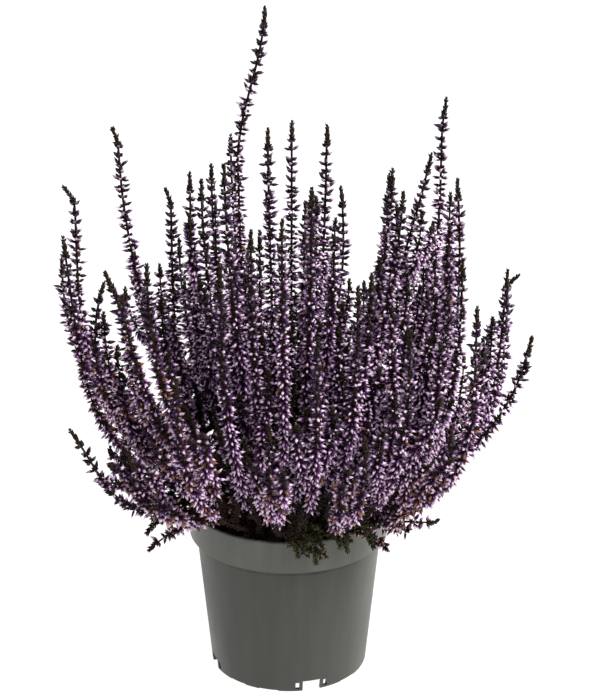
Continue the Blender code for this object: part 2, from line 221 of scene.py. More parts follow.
class Wire:
    """An output socket that can stand in a sum."""

    def __init__(self, tree, socket):
        self.tree = tree
        self.socket = socket

    __add__ = sum_of("ADD")
    __radd__ = sum_of("ADD", swapped=True)
    __sub__ = sum_of("SUBTRACT")
    __rsub__ = sum_of("SUBTRACT", swapped=True)
    __mul__ = sum_of("MULTIPLY")
    __rmul__ = sum_of("MULTIPLY", swapped=True)
    __truediv__ = sum_of("DIVIDE")
    __abs__ = sum_of("ABSOLUTE")
    floor = sum_of("FLOOR")
    sine = sum_of("SINE")
    cosine = sum_of("COSINE")
    cross = sum_of("CROSS_PRODUCT")
    unit = sum_of("NORMALIZE")
    pingpong = sum_of("PINGPONG")
    below = sum_of("LESS_THAN")
    above = sum_of("GREATER_THAN")
    near = sum_of("COMPARE")


# %% Benches
class Bench:
    """Adds nodes to one tree."""

    def __init__(self, tree):
        self.tree = tree

    def add(self, kind, settings=None, sockets=None, output=None, **plain):
        """One node: its settings, its sockets, and the output, or outputs, whose wires it returns."""
        node = self.tree.nodes.new(kind)
        for name, value in (settings or {}).items():
            setattr(node, name, value)
        feed(self.tree, node, {**(sockets or {}), **plain})
        shown = {socket.name: Wire(self.tree, socket) for socket in node.outputs if socket.enabled}
        if isinstance(output, tuple):
            return [shown[name] for name in output]
        return shown[output] if output else next(iter(shown.values()))

    def mixed(self, share, first, second):
        """A colour between two others."""
        return self.add("ShaderNodeMix", {"data_type": "RGBA"}, {0: share, 6: first, 7: second})

    def ramped(self, value, low, high, to_low=0.0, to_high=1.0, smooth=False):
        """A value carried from one range to another and held at its ends."""
        settings = {"interpolation_type": "SMOOTHSTEP" if smooth else "LINEAR"}
        sockets = {"Value": value, "From Min": low, "From Max": high, "To Min": to_low, "To Max": to_high}
        return self.add("ShaderNodeMapRange", settings, sockets)

    def noise(self, place, scale, detail):
        return self.add("ShaderNodeTexNoise", output="Fac", Vector=place, Scale=scale, Detail=detail)

    def part(self, vector, axis):
        return self.add("ShaderNodeSeparateXYZ", output=axis, Vector=vector)

    def on_object(self):
        """The place on the object, in its own metres."""
        return self.add("ShaderNodeTexCoord", output="Object")

    def relief(self, height, strength, distance):
        return self.add("ShaderNodeBump", Height=height, Strength=strength, Distance=distance)

    def joined(self, parts):
        """Several geometries as one, in this order."""
        node = self.tree.nodes.new("GeometryNodeJoinGeometry")
        for part in parts:
            self.tree.links.new(part.socket, node.inputs[0])
        return Wire(self.tree, node.outputs[0])


def srgb(red, green, blue):
    """A colour as a painter reads it, 0 to 255, in the linear numbers that shaders use."""
    shares = [channel / 255 for channel in (red, green, blue)]
    linear = [share / 12.92 if share <= 0.04045 else ((share + 0.055) / 1.055) ** 2.4 for share in shares]
    return (*linear, 1)


def made_material(name, painted):
    """A material whose shader gets the sockets that the painting function returns."""
    material = bpy.data.materials.new(name)
    material.use_nodes = True
    tree = material.node_tree
    feed(tree, tree.nodes["Principled BSDF"], painted(Bench(tree)))
    return material


def made_tree(name, inputs, grown):
    """A geometry-nodes tree with named inputs, which gives what the growing function returns."""
    tree = bpy.data.node_groups.new(name, "GeometryNodeTree")
    for label, kind in inputs.items():
        tree.interface.new_socket(name=label, in_out="INPUT", socket_type="NodeSocket" + kind)
    tree.interface.new_socket(name="Geometry", in_out="OUTPUT", socket_type="NodeSocketGeometry")
    entry = tree.nodes.new("NodeGroupInput")
    given = {label: Wire(tree, entry.outputs[label]) for label in inputs}
    join(tree, tree.nodes.new("NodeGroupOutput").inputs[0], grown(Bench(tree), given))
    return tree


def give_tree(piece, tree, values):
    """Lets a tree shape an object, with these values in its named inputs."""
    modifier = piece.modifiers.new("tree", "NODES")
    modifier.node_group = tree
    for socket in tree.interface.items_tree:
        if socket.in_out == "INPUT" and socket.name in values:
            modifier[socket.identifier] = values[socket.name]


print("a mid grey in linear numbers:", [round(channel, 3) for channel in srgb(128, 128, 128)])

# %% [markdown]
# ## Where colour comes from on the plant
# A spike has hundreds of buds, and each should differ a little from its neighbours, but an image painted for
# every bud would be huge. So every bud, leaf and stem gets its place on one small chart. Across the chart
# runs the height on the spike, from the tip at 0 to the foot at 1. Up the chart are rows, one for each tone
# of bud, leaf or bark, and within a row the colour runs from a bud's stalk to its tip. The chart is a UV
# map, which the materials read.

# %% The rows of the chart
BUD_TONES = 7
WITHERED_ROW = 7
LEAF_ROWS = (8, 9, 10)
BARK_ROW = 11
ROWS = 12
ROW_MARGIN = 0.08
CHART = "OFBake"

DARK_HEATHER_AND_PAINTED_SHADE = srgb(26, 11, 15)
DEEP_HEATHER = srgb(38, 18, 29)
HEATHER = srgb(130, 64, 138)
BLUISH_HEATHER = srgb(96, 56, 142)
PALE_HEATHER_AND_HIGHLIGHT = srgb(255, 226, 250)
RUST = srgb(98, 52, 42)
STRAW = srgb(192, 146, 126)
LEAF_DARK = srgb(27, 16, 18)
LEAF_OLIVE = srgb(48, 40, 25)
LEAF_BROWN = srgb(54, 31, 28)
# The green shoots' leaves: greener than the rest, and lighter as painted light where the bush shades them
SHOOT_DARK_PAINTED_LIGHTER = srgb(40, 40, 26)
SHOOT_OLIVE_PAINTED_LIGHTER = srgb(78, 80, 50)
SHOOT_BROWN_PAINTED_LIGHTER = srgb(84, 60, 42)
BARK_DARK = srgb(30, 20, 17)
BARK_RED = srgb(56, 34, 28)


def chart_place(bench):
    """Reads the chart: the height on the spike, the row, and the place within the row."""
    chart = bench.add("ShaderNodeUVMap", {"uv_map": CHART})
    up = bench.part(chart, "Y") * ROWS
    row = up.floor()
    return bench.part(chart, "X"), row, bench.ramped(up - row, ROW_MARGIN, 1 - ROW_MARGIN)


# %% [markdown]
# ## The plant's finishes
# A heather bud is papery and slightly glossy. Its outer half is the palest: a paler colour, whitened further
# by a painted highlight, most of all low on the spike. Towards the stalk it darkens to a wine colour, partly
# its dark scales and partly painted shade where it meets the stem. High on the spike the buds are young, and
# stay dark purple all over. A few have withered to rust and straw, and they take a row of their own. Leaves
# run from near black through olive to brown, and bark is brown with a reddish grain.

# %% Bud, leaf and bark materials
# How far down a spike buds turn from young to ripe, and how much sooner the palest tone does
RIPENING = (0.12, 0.62)
RIPENS_SOONER = 0.40
LEAST_LILAC = 0.3
BLUISH_STEP = 0.37
BLUISH_SHARE = 0.24
# Stretches of a bud from its stalk at 0 to its tip at 1
DARK_STALK_AND_PAINTED_SHADE = (0.26, 0.56)
PALE_TIP_AND_PAINTED_HIGHLIGHT = (0.68, 0.92)
STRAW_TIP = (0.45, 1.05)
TONE_WIDENS_PALE_TIP = 0.24
# How pale the tip and its painted highlight are at the darkest tone, and what the palest tone adds
LEAST_PALE = 0.6
MORE_PALE = 0.5
LEAF_EDGE = (0.5, 1.0, 0.0, 0.35)
YOUNG_BARK = (0.0, 0.25, 0.8, 0.0)
BARK_GRAIN = (900.0, 2.0)
HALF_ROW = 0.5
# Roughness and specular level
BUD_GLOSS = (0.45, 0.3)
LEAF_GLOSS = (0.8, 0.2)
BARK_GLOSS = (0.85, 0.2)


def finish(colour, roughness, specular):
    return {"Base Color": colour, "Roughness": roughness, "Specular IOR Level": specular}


def bud_paint(bench):
    height, row, within = chart_place(bench)
    tone = row / (BUD_TONES - 1)
    age = bench.ramped(height + tone * RIPENS_SOONER - RIPENS_SOONER / 2, *RIPENING, smooth=True)
    body = bench.mixed(age * (LEAST_LILAC + tone * (1 - LEAST_LILAC)), DEEP_HEATHER, HEATHER)
    body = bench.mixed((row * BLUISH_STEP).pingpong(1.0) * BLUISH_SHARE, body, BLUISH_HEATHER)
    # Painted shade: the stalk end darkens, partly the dark scales and partly shade where the bud meets its
    # stem
    body = bench.mixed(bench.ramped(within, *DARK_STALK_AND_PAINTED_SHADE, 1.0, 0.0, smooth=True), body, DARK_HEATHER_AND_PAINTED_SHADE)
    # The pale outer end: a paler colour, whitened further by a painted highlight
    pale_tip_and_highlight = bench.ramped(within + tone * TONE_WIDENS_PALE_TIP, *PALE_TIP_AND_PAINTED_HIGHLIGHT, smooth=True)
    fresh = bench.mixed(pale_tip_and_highlight * age * (LEAST_PALE + tone * MORE_PALE), body, PALE_HEATHER_AND_HIGHLIGHT)
    dry = bench.mixed(bench.ramped(within, *STRAW_TIP), RUST, STRAW)
    return finish(bench.mixed(row.near(float(WITHERED_ROW), HALF_ROW), fresh, dry), *BUD_GLOSS)


def leaf_paint(bench, dark_tone, olive_tone, brown_tone):
    _, row, within = chart_place(bench)
    olive, brown = (bench.ramped(row, *rows) for rows in zip(LEAF_ROWS, LEAF_ROWS[1:]))
    colour = bench.mixed(brown, bench.mixed(olive, dark_tone, olive_tone), brown_tone)
    return finish(bench.mixed(bench.ramped(within, *LEAF_EDGE), colour, olive_tone), *LEAF_GLOSS)


def bark_paint(bench):
    height, _, _ = chart_place(bench)
    colour = bench.mixed(bench.noise(bench.on_object(), *BARK_GRAIN), BARK_DARK, BARK_RED)
    return finish(bench.mixed(bench.ramped(height, *YOUNG_BARK), colour, LEAF_DARK), *BARK_GLOSS)


def leaf_material(name, *tones):
    return made_material(name, lambda bench: leaf_paint(bench, *tones))


bud_finish = made_material("heather bud", bud_paint)
leaf_finish = leaf_material("heather leaf", LEAF_DARK, LEAF_OLIVE, LEAF_BROWN)
# A lighter copy of the leaf finish for the shoots, painted light against the bush's shade
shoot_finish_painted_lighter = leaf_material("heather shoot leaf painted lighter", SHOOT_DARK_PAINTED_LIGHTER, SHOOT_OLIVE_PAINTED_LIGHTER, SHOOT_BROWN_PAINTED_LIGHTER)
bark_finish = made_material("heather bark", bark_paint)
print("plant materials:", bud_finish.name, leaf_finish.name, shoot_finish_painted_lighter.name, bark_finish.name)

# %% [markdown]
# ## One bud and one leaf
# A closed heather bud is a pointed oval that widens from a short stalk wrapped in dark scales. Here the scales
# are only the dark colour at the stalk, darkened further as painted shade where the bud meets its stem. The
# leaves are scales with three sides, pointed at both ends. Both repeat by the thousand, so a bud has 16
# triangles and a leaf six. Each is modelled once, lying along Z from the stem at the origin, and its corners
# remember how far along it they are and how far round.

# %% Bud and leaf shapes
BUD_SIDES = 4
BUD_FOOT = 0.0004
BUD_RINGS = ((0.0027, 0.00098), (0.0044, 0.00076))
BUD_TIP = 0.0064
LEAF_SIDES = 3
LEAF_RING = (0.0011, 0.00066)
LEAF_TIP = 0.0024
# Keeps the number that runs round a shape from being the same on two neighbours
ROUND_OFFSET = 0.28


def spindle(shape, rings, sides, foot, tip):
    """A closed pointed shape: a foot point, rings of (height, radius), and a tip point."""
    along = shape.verts.layers.float["along"]
    around = shape.verts.layers.float["around"]

    def corner(radius, height, side):
        angle = math.tau * side / sides
        point = shape.verts.new((radius * math.cos(angle), radius * math.sin(angle), height))
        point[along] = (height - foot) / (tip - foot)
        point[around] = abs(2 * (side + ROUND_OFFSET) / sides - 1)
        return point

    first = corner(0, foot, 0)
    last = corner(0, tip, 0)
    loops = [[corner(radius, height, side) for side in range(sides)] for height, radius in rings]
    skin(shape, first, loops, last)


def skin(shape, first, loops, last, swapped=False):
    """Faces from a first point through loops of points to a last point."""
    for side in range(len(loops[0])):
        after = (side + 1) % len(loops[0])
        one, other = (side, after) if swapped else (after, side)
        shape.faces.new((first, loops[0][one], loops[0][other]))
        shape.faces.new((last, loops[-1][other], loops[-1][one]))
        for low, high in zip(loops, loops[1:]):
            shape.faces.new((low[side], low[after], high[after], high[side]))


def mesh_from(name, shape):
    mesh = bpy.data.meshes.new(name)
    shape.to_mesh(mesh)
    shape.free()
    return mesh


def placed(name, shape):
    """An object in the scene."""
    return link(bpy.data.objects.new(name, mesh_from(name, shape)))


def hidden_shape(name, build):
    """An object out of sight that a tree copies."""
    shape = bmesh.new()
    shape.verts.layers.float.new("along")
    shape.verts.layers.float.new("around")
    build(shape)
    return bpy.data.objects.new(name, mesh_from(name, shape))


def build_bud(shape):
    spindle(shape, BUD_RINGS, BUD_SIDES, BUD_FOOT, BUD_TIP)


def build_leaf(shape):
    spindle(shape, (LEAF_RING,), LEAF_SIDES, 0.0, LEAF_TIP)


bud_shape = hidden_shape("bud shape", build_bud)
leaf_shape = hidden_shape("leaf shape", build_leaf)
print("faces of a bud:", len(bud_shape.data.polygons), "and of a leaf:", len(leaf_shape.data.polygons))

# %% [markdown]
# ## The growth tree
# One geometry-nodes tree dresses any stem. It is given a line whose points are the places where buds or
# leaves sit, and each point carries its own numbers: which way the tip lies, how far down the flowers it
# is, how many buds and leaves it bears and how large they are. The tree draws the bark round the line,
# copies each point once for each bud, turns and tilts the copies, and puts a bud on each. Leaves follow
# in the same way, in the gaps between the buds. Chance comes only from the seed.

# %% Helpers for growing
# Where the chart's first column starts, how wide all its columns are, and how wide one piece lies in it
CHART_START = 0.02
CHART_SPAN = 0.94
CHART_SLIVER = 0.03
TURN_SLACK = 0.24


def named(bench, name, kind="FLOAT"):
    return bench.add("GeometryNodeInputNamedAttribute", {"data_type": kind}, output="Attribute", Name=name)


def stored(bench, geometry, name, value, kind="FLOAT", domain="POINT"):
    settings = {"data_type": kind, "domain": domain}
    return bench.add("GeometryNodeStoreNamedAttribute", settings, Geometry=geometry, Name=name, Value=value)


def chance(bench, low, high, seed, kind="FLOAT"):
    settings = {"data_type": kind}
    return bench.add("FunctionNodeRandomValue", settings, output="Value", Min=low, Max=high, Seed=seed)


def happens(bench, share, seed):
    """1 for a share of the points and 0 for the rest."""
    return chance(bench, 0.0, 1.0, seed).below(share)


def coated(bench, geometry, material):
    return bench.add("GeometryNodeSetMaterial", Geometry=geometry, Material=material)


def charted(bench, geometry, height, row):
    """Lays faces on the chart, a sliver wide, from the numbers that they carry."""
    across = height * CHART_SPAN + CHART_START + named(bench, "around") * CHART_SLIVER
    within = named(bench, "along") * (1 - 2 * ROW_MARGIN) + ROW_MARGIN
    place = bench.add("ShaderNodeCombineXYZ", X=across, Y=(row + within) / ROWS)
    return stored(bench, geometry, CHART, place, "FLOAT2", "CORNER")


def copied(bench, shape, **sockets):
    """A copy of a hidden shape on each point."""
    source = bench.add("GeometryNodeObjectInfo", output="Geometry", Object=shape)
    return bench.add("GeometryNodeInstanceOnPoints", Instance=source, **sockets)


def sprouted(bench, points, count, shape, seed, offset, tilt, length, width):
    """Copies of a shape round each point, turned about the stem and tilted away from the tip."""
    grown, order = bench.add("GeometryNodeDuplicateElements", {"domain": "POINT"},
                             {"Geometry": points, "Amount": count}, ("Geometry", "Duplicate Index"))
    slack = chance(bench, -TURN_SLACK, TURN_SLACK, seed)
    angle = named(bench, "turn") + offset + order / count * math.tau + slack
    toward = named(bench, "toward", "FLOAT_VECTOR")
    first = toward.cross((0, 1, 0)).unit()
    outward = first * angle.cosine() + toward.cross(first) * angle.sine()
    direction = toward * tilt.cosine() + outward * tilt.sine() + (0, 0, -1.0) * named(bench, "droop")
    turned = bench.add("FunctionNodeAlignRotationToVector", {"axis": "Z"}, Vector=direction)
    size = bench.add("ShaderNodeCombineXYZ", X=width, Y=width, Z=length)
    return copied(bench, shape, Points=grown, Rotation=turned, Scale=size)


def finished(bench, copies, row, height, material):
    """Real faces in place of copies, laid on the chart, with their finish."""
    copies = stored(bench, copies, "row", row, domain="INSTANCE")
    faces = bench.add("GeometryNodeRealizeInstances", Geometry=copies)
    return coated(bench, charted(bench, faces, height, named(bench, "row")), material)


# %% Bark, buds and leaves, each as a branch of the tree
BARK_SIDES = 5
BARK_STEP = 0.004
# The least and the most by which chance changes a bud or a leaf
BUD_TILT_SLACK = (-0.42, 0.42)
BUD_LENGTHS = (0.72, 1.15)
BUD_WIDTHS = (0.85, 1.12)
LEAF_TILT_SLACK = (-0.2, 0.2)
LEAF_SIZES = (0.8, 1.15)
LEAF_TURN = 0.6
LEAF_SEED = 20
# How many times as often as buds leaves wither
LEAVES_WITHER = 2
LAST_TONE = BUD_TONES - 0.01
# Buds wither more often lower on a spike: the stretch where this rises, and from what to what
WITHERING = (0.15, 0.6, 0.0, 1.3)


def bark_branch(bench, lines):
    curve = bench.add("GeometryNodeMeshToCurve", Mesh=lines)
    curve = bench.add("GeometryNodeResampleCurve", {"mode": "LENGTH"}, Curve=curve, Length=BARK_STEP)
    ring = bench.add("GeometryNodeCurvePrimitiveCircle", output="Curve", Resolution=BARK_SIDES, Radius=1.0)
    corner = bench.add("GeometryNodeInputIndex") + ROUND_OFFSET
    ring = stored(bench, ring, "around", abs(corner * (2 / BARK_SIDES) - 1))
    sockets = {"Curve": curve, "Profile Curve": ring, "Scale": named(bench, "girth"), "Fill Caps": True}
    bark = bench.add("GeometryNodeCurveToMesh", {}, sockets)
    bark = stored(bench, bark, "along", named(bench, "around"))
    return coated(bench, charted(bench, bark, named(bench, "place"), float(BARK_ROW)), bark_finish)


def bud_branch(bench, points, given):
    seed = given["Seed"]
    share = named(bench, "share")
    tilt = bench.ramped(share, 0.0, 1.0, given["Bud angle at top"], given["Bud angle at foot"])
    tilt = tilt + chance(bench, *BUD_TILT_SLACK, seed + 1)
    length = named(bench, "swell") * chance(bench, *BUD_LENGTHS, seed + 2)
    width = named(bench, "plump") * chance(bench, *BUD_WIDTHS, seed + 3)
    buds = sprouted(bench, points, named(bench, "crowd", "INT"), bud_shape, seed, 0.0, tilt, length, width)
    tone = chance(bench, 0.0, float(BUD_TONES), seed + 4) + given["Paleness"]
    tone = bench.ramped(tone, 0.0, LAST_TONE, 0.0, LAST_TONE).floor()
    withered = happens(bench, given["Withered"] * bench.ramped(share, *WITHERING), seed + 5)
    row = tone + withered * (WITHERED_ROW - tone)
    return finished(bench, buds, row, bench.ramped(share, 0.0, 1.0), bud_finish)


def leaf_branch(bench, points, given):
    seed = given["Seed"] + LEAF_SEED
    count = named(bench, "leaves", "INT")
    tilt = named(bench, "spread") + chance(bench, *LEAF_TILT_SLACK, seed)
    size = named(bench, "leafage") * chance(bench, *LEAF_SIZES, seed + 1)
    leaves = sprouted(bench, points, count, leaf_shape, seed + 2, LEAF_TURN, tilt, size, size)
    row = chance(bench, float(LEAF_ROWS[0]), float(LEAF_ROWS[2]), seed + 3).floor()
    row = row + happens(bench, given["Withered"] * LEAVES_WITHER, seed + 4) * (LEAF_ROWS[2] - row)
    return finished(bench, leaves, row, named(bench, "place"), given["Leaf finish"])


def whole_growth(bench, given):
    lines = given["Geometry"]
    points = bench.add("GeometryNodeMeshToPoints", output="Points", Mesh=lines)
    parts = (leaf_branch(bench, points, given), bud_branch(bench, points, given), bark_branch(bench, lines))
    return bench.add("GeometryNodeSetShadeSmooth", Geometry=bench.joined(parts))


growth_inputs = {"Geometry": "Geometry", "Seed": "Int", "Withered": "Float", "Paleness": "Float",
                 "Bud angle at top": "Float", "Bud angle at foot": "Float", "Leaf finish": "Material"}
growth_tree = made_tree("heather growth", growth_inputs, whole_growth)
print("nodes in the growth tree:", len(growth_tree.nodes))

# %% [markdown]
# ## Where the stems run
# The stems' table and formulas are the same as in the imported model's own source, so that the buds sit on
# the very stems that the model has. A stem rises from its hole in the compost, swings outward above the
# rim and then grows upright.

# %% The spikes, in millimetres
SOIL_Z = 0.0965
SOIL_MOUND = 0.0025
ROOT_DEPTH = 0.010
BARE_NECK = 0.0035
LOW_TIP_Z = 0.200
LOW_NECK = 0.0075
BASE_REACH = 0.041
REACH_POWER = 0.72
LAST_REACH = 0.130
STEM_POINTS = 48

# The tip's x, y and height, the length in flower, and how soon the stem swings outward
SPIKES = (
    # Tall spikes that make the outline seen from the front, left to right
    (-121, -8, 305, 150, 4.4), (-120, -36, 285, 150, 4.0), (-98, 28, 328, 165, 2.1),
    (-123, -50, 263, 115, 2.0), (-91, -76, 280, 140, 2.0), (-76, -96, 292, 150, 2.2),
    (-67, 2, 300, 155, 4.3), (-59, 74, 284, 140, 4.4), (-49, -16, 312, 165, 1.8),
    (-47, 101, 280, 130, 2.4), (-35, -50, 333, 180, 1.6), (-34, 56, 314, 150, 1.8),
    (-29, 10, 405, 230, 3.2), (-11, -43, 351, 190, 1.4), (-3, -99, 319, 160, 2.6), (2, 46, 326, 150, 1.8),
    (22, 5, 337, 170, 1.6), (13, -66, 325, 170, 2.0), (37, 60, 280, 130, 1.2), (60, 25, 304, 150, 1.7),
    (60, 81, 281, 130, 2.2), (64, -36, 312, 160, 1.5), (69, 0, 322, 175, 1.4), (90, 58, 336, 150, 3.8),
    (98, -38, 320, 160, 3.3), (96, -70, 285, 150, 3.2), (103, -93, 266, 140, 4.4),
    (128, 16, 242, 125, 4.6), (122, -18, 258, 130, 4.4), (130, -40, 226, 105, 2.5),
    # Spikes in front, whose tips show against the rest
    (-20, -84, 307, 165, 2.4), (-36, -112, 297, 155, 2.8), (38, -103, 282, 150, 2.8),
    (46, -72, 277, 130, 2.0), (66, -116, 262, 140, 3.2), (16, -126, 262, 140, 3.0),
    (-60, -122, 236, 125, 2.8), (-10, -134, 214, 110, 2.6), (42, -134, 206, 105, 2.6),
    # Low arching spikes round the rim
    (-99, -65, 180, 95, 5.2), (-88, -98, 182, 95, 2.8), (90, -103, 200, 105, 2.6),
    (114, 50, 197, 100, 4.2), (-120, 60, 190, 100, 2.2),
    # Spikes behind, kept under the outline seen from the front
    (-134, 40, 243, 125, 2.8), (-94, 80, 236, 125, 2.4), (-68, 116, 226, 120, 2.6),
    (-18, 98, 238, 130, 2.4), (-26, 130, 214, 110, 2.8), (10, 112, 252, 125, 2.8),
    (28, 134, 196, 100, 2.8), (58, 118, 228, 110, 2.6), (98, 90, 240, 120, 2.4),
)
TALLEST = 12
FLOWERING = 3
# The share of the stem that leans aside under its tip, and by how many millimetres
NODS = {
    0: (0.05, -6), 1: (0.45, -6), 2: (0.05, -3), 3: (0.60, 20), 4: (0.20, -9), 6: (0.05, -3),
    12: (0.30, 16), 18: (0.30, -6), 22: (0.60, 12), 23: (0.10, 2), 24: (0.40, -4),
    27: (0.05, 6), 28: (0.45, 3), 29: (0.50, 8), 39: (0.80, -24), 42: (0.45, 9),
}
NOD_POWER = 1.5
# Side spikes, by their parent's place in the list: the share of the stem where they fork, the tip's offset
SIDE_SPIKES = {
    5: (0.36, (-16, -10, 78)), 27: (0.46, (6, -18, 70)), 31: (0.30, (12, -16, 84)), 33: (0.25, (-8, -22, 86)),
    34: (0.32, (18, -4, 76)), 20: (0.35, (14, 8, 70)), 9: (0.35, (14, 6, 76)), 7: (0.35, (-16, 8, 72)),
}
SIDE_SWING = 0.6
SIDE_FORK_RISE = 0.010
SIDE_UPRIGHT = 0.030


def spike_base(tip):
    """Stems leave the compost close together and in the direction of their tips."""
    reach = math.hypot(tip.x, tip.y)
    base_reach = BASE_REACH * (reach / LAST_REACH) ** REACH_POWER
    return Vector((tip.x, tip.y, 0)) * (min(base_reach, BASE_REACH) / reach)


def spike_path(number):
    """A stem's places from root to tip. The tallest stem grows upright again above its lean."""
    x, y, z, _, swing_power = SPIKES[number]
    nod_share, nod = NODS.get(number, (1, 0))
    tip = Vector((x, y, z)) * MM
    base = spike_base(tip)
    start = SOIL_Z + SOIL_MOUND + (LOW_NECK if tip.z < LOW_TIP_Z else BARE_NECK)
    path = [base + Vector((0, 0, SOIL_Z - ROOT_DEPTH))]
    for point in range(STEM_POINTS + 1):
        share = point / STEM_POINTS
        place = base.lerp(Vector((tip.x, tip.y, 0)), 1 - (1 - share) ** swing_power)
        lean = max(0, (share - 1 + nod_share) / nod_share)
        bend = lean * lean * (3 - 2 * lean) if number == TALLEST else lean ** NOD_POWER
        place.x += nod * MM * bend
        place.z = start + (tip.z - start) * share
        path.append(place)
    return path


def bezier_path(a, b, c, d, points=24):
    path = []
    for point in range(points + 1):
        t = point / points
        s = 1 - t
        path.append(a * s ** 3 + b * 3 * s * s * t + c * 3 * s * t * t + d * t ** 3)
    return path


class Walk:
    """Places and directions at lengths measured back from a path's tip."""

    def __init__(self, path):
        self.path = path[::-1]
        self.lengths = [0]
        for before, after in zip(self.path, self.path[1:]):
            self.lengths.append(self.lengths[-1] + (after - before).length)
        self.length = self.lengths[-1]

    def at(self, length):
        length = min(max(length, 0), self.length)
        for index in range(1, len(self.path)):
            if self.lengths[index] >= length:
                break
        stretch = self.lengths[index] - self.lengths[index - 1]
        share = (length - self.lengths[index - 1]) / stretch
        place = self.path[index - 1].lerp(self.path[index], share)
        return place, (self.path[index - 1] - self.path[index]).normalized()


def side_path(walk, share, offset):
    """A side spike leaves its parent outward and soon grows upright beside it."""
    fork = walk.at(walk.length * (1 - share))[0]
    tip = fork + Vector(offset) * MM
    out = Vector((offset[0], offset[1], 0)) * MM
    leaving = fork + out * SIDE_SWING + Vector((0, 0, SIDE_FORK_RISE))
    return bezier_path(fork, leaving, tip - Vector((0, 0, SIDE_UPRIGHT)), tip)


off_by = max(abs(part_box(f"flower_spike_{number + 1:02d}")[1].z - row[2] * MM)
             for number, row in enumerate(SPIKES) if number not in SIDE_SPIKES)
print("spikes:", len(SPIKES), "and their tips agree with the model to", round(off_by / MM, 3), "mm")

# %% [markdown]
# ## From a path to points that bear buds
# Seen close, a spike has three stretches. The last 12 mm are a tight green tip of scale leaves. Below it the
# buds stand in rings of three to five, well apart at first, then closer and hanging. Under the flowers the
# stem bears leaves only, and near the compost it is bare. These cells lay the points of such a line and
# write on each what the growth tree needs.

# %% Laying lines of points
LINE_NUMBERS = ("share", "place", "swell", "plump", "girth", "droop", "leafage", "spread", "turn")
LINE_COUNTS = ("crowd", "leaves")
# Lines of other lengths start their rings at other turns
TURN_PER_METRE = 1000


class Lines:
    """Collects the lines of one piece as a mesh of points and edges."""

    def __init__(self):
        self.shape = bmesh.new()
        for name in LINE_NUMBERS:
            self.shape.verts.layers.float.new(name)
        for name in LINE_COUNTS:
            self.shape.verts.layers.int.new(name)
        self.shape.verts.layers.float_vector.new("toward")

    def add(self, walk, rings):
        """One line. Each ring is a length from the tip and its numbers, and turns against the one before."""
        layers = self.shape.verts.layers
        before = None
        turn = walk.length * TURN_PER_METRE
        for back, numbers in rings:
            place, toward = walk.at(back)
            point = self.shape.verts.new(place)
            turn += math.pi / max(2, numbers.get("crowd", numbers.get("leaves", 2)))
            for name in LINE_NUMBERS:
                point[layers.float[name]] = numbers.get(name, 0.0)
            for name in LINE_COUNTS:
                point[layers.int[name]] = numbers.get(name, 0)
            point[layers.float["place"]] = back / walk.length
            point[layers.float["turn"]] = turn
            point[layers.float_vector["toward"]] = toward
            if before:
                self.shape.edges.new((before, point))
            before = point


# %% Rings of a flowering stem, from tip to foot
TIP_GREEN = 0.012
TIP_STEP = 0.0013
TIP_LEAVES = 4
TIP_LEAFAGE = (1.15, 1.45)
TIP_SPREAD = (0.34, 0.60)
TIP_BUMP = 0.26
TIP_TAPER = (0.7, 1.0)
STEM_FOOT_GIRTH = 0.00115
STEM_MIDDLE_GIRTH = STEM_FOOT_GIRTH * 0.75
STEM_TIP_GIRTH = 0.0007
BARE_LENGTH = 0.012
# Pairs are for young buds and for ripe ones
BUD_STEPS = (0.0050, 0.0028)
BUD_SWELL = (0.98, 0.94)
BUD_PLUMP = (1.15, 0.95)
BUD_LEAFAGE = (1.6, 1.2)
BUD_LEAVES = (4, 2)
YOUNG_CROWDS = (3, 4, 5)
RIPE_CROWD = 5
CLOSE_SHARE = 0.5
BUD_DROOP = 0.75
SWELL_AT_TOP = 0.7
SWELL_RISE = 3
BUD_SPREAD = 1.0
SWELL_LUCK = (0.84, 1.10)
STEP_LUCK = (0.6, 1.3)
# Kinds of leafy stretch: leaves to a ring, the step between rings, their size and how far they stand out
STEM_LEAVES = (3, 0.0026, 1.4, 0.8)
SPRAY_LEAVES = (3, 0.0026, 1.1, 0.8)
TWIG_LEAVES = (4, 0.0021, 1.3, 0.65)
LEAFY_TIP = 0.0005
TWIG_TAPER = 0.6


def tip_rings(green, girth):
    """A tight green tip, on which every third ring of leaves stands out."""
    rings = []
    count = round(green / TIP_STEP)
    for number in range(count):
        share = number / count
        spread = between(TIP_SPREAD, share) + TIP_BUMP * (number % 3 == 1)
        numbers = {"leaves": TIP_LEAVES, "leafage": between(TIP_LEAFAGE, share), "spread": spread,
                   "girth": girth * between(TIP_TAPER, share)}
        rings.append(((number + 0.5) * TIP_STEP, numbers))
    return rings


def bud_rings(start, end, girths, dice, ripeness=1.0, first_share=0.0):
    """Young buds are plump and far apart, and ripe ones slimmer, close and hanging."""
    rings = []
    back = start
    while back < end:
        share = first_share + (1 - first_share) * (back - start) / (end - start)
        close = min(1, share / CLOSE_SHARE) * ripeness
        ripe = close >= 1
        crowd = RIPE_CROWD if ripe else dice.choice(YOUNG_CROWDS)
        opened = min(1, SWELL_AT_TOP + share * SWELL_RISE)
        swell = between(BUD_SWELL, close) * dice.uniform(*SWELL_LUCK) * opened
        numbers = {"share": share * ripeness, "crowd": crowd, "leaves": BUD_LEAVES[ripe], "swell": swell,
                   "plump": between(BUD_PLUMP, close), "girth": between(girths, share),
                   "droop": BUD_DROOP * share * share * ripeness, "leafage": between(BUD_LEAFAGE, close),
                   "spread": BUD_SPREAD}
        rings.append((back, numbers))
        back += between(BUD_STEPS, close) * dice.uniform(*STEP_LUCK)
    return rings


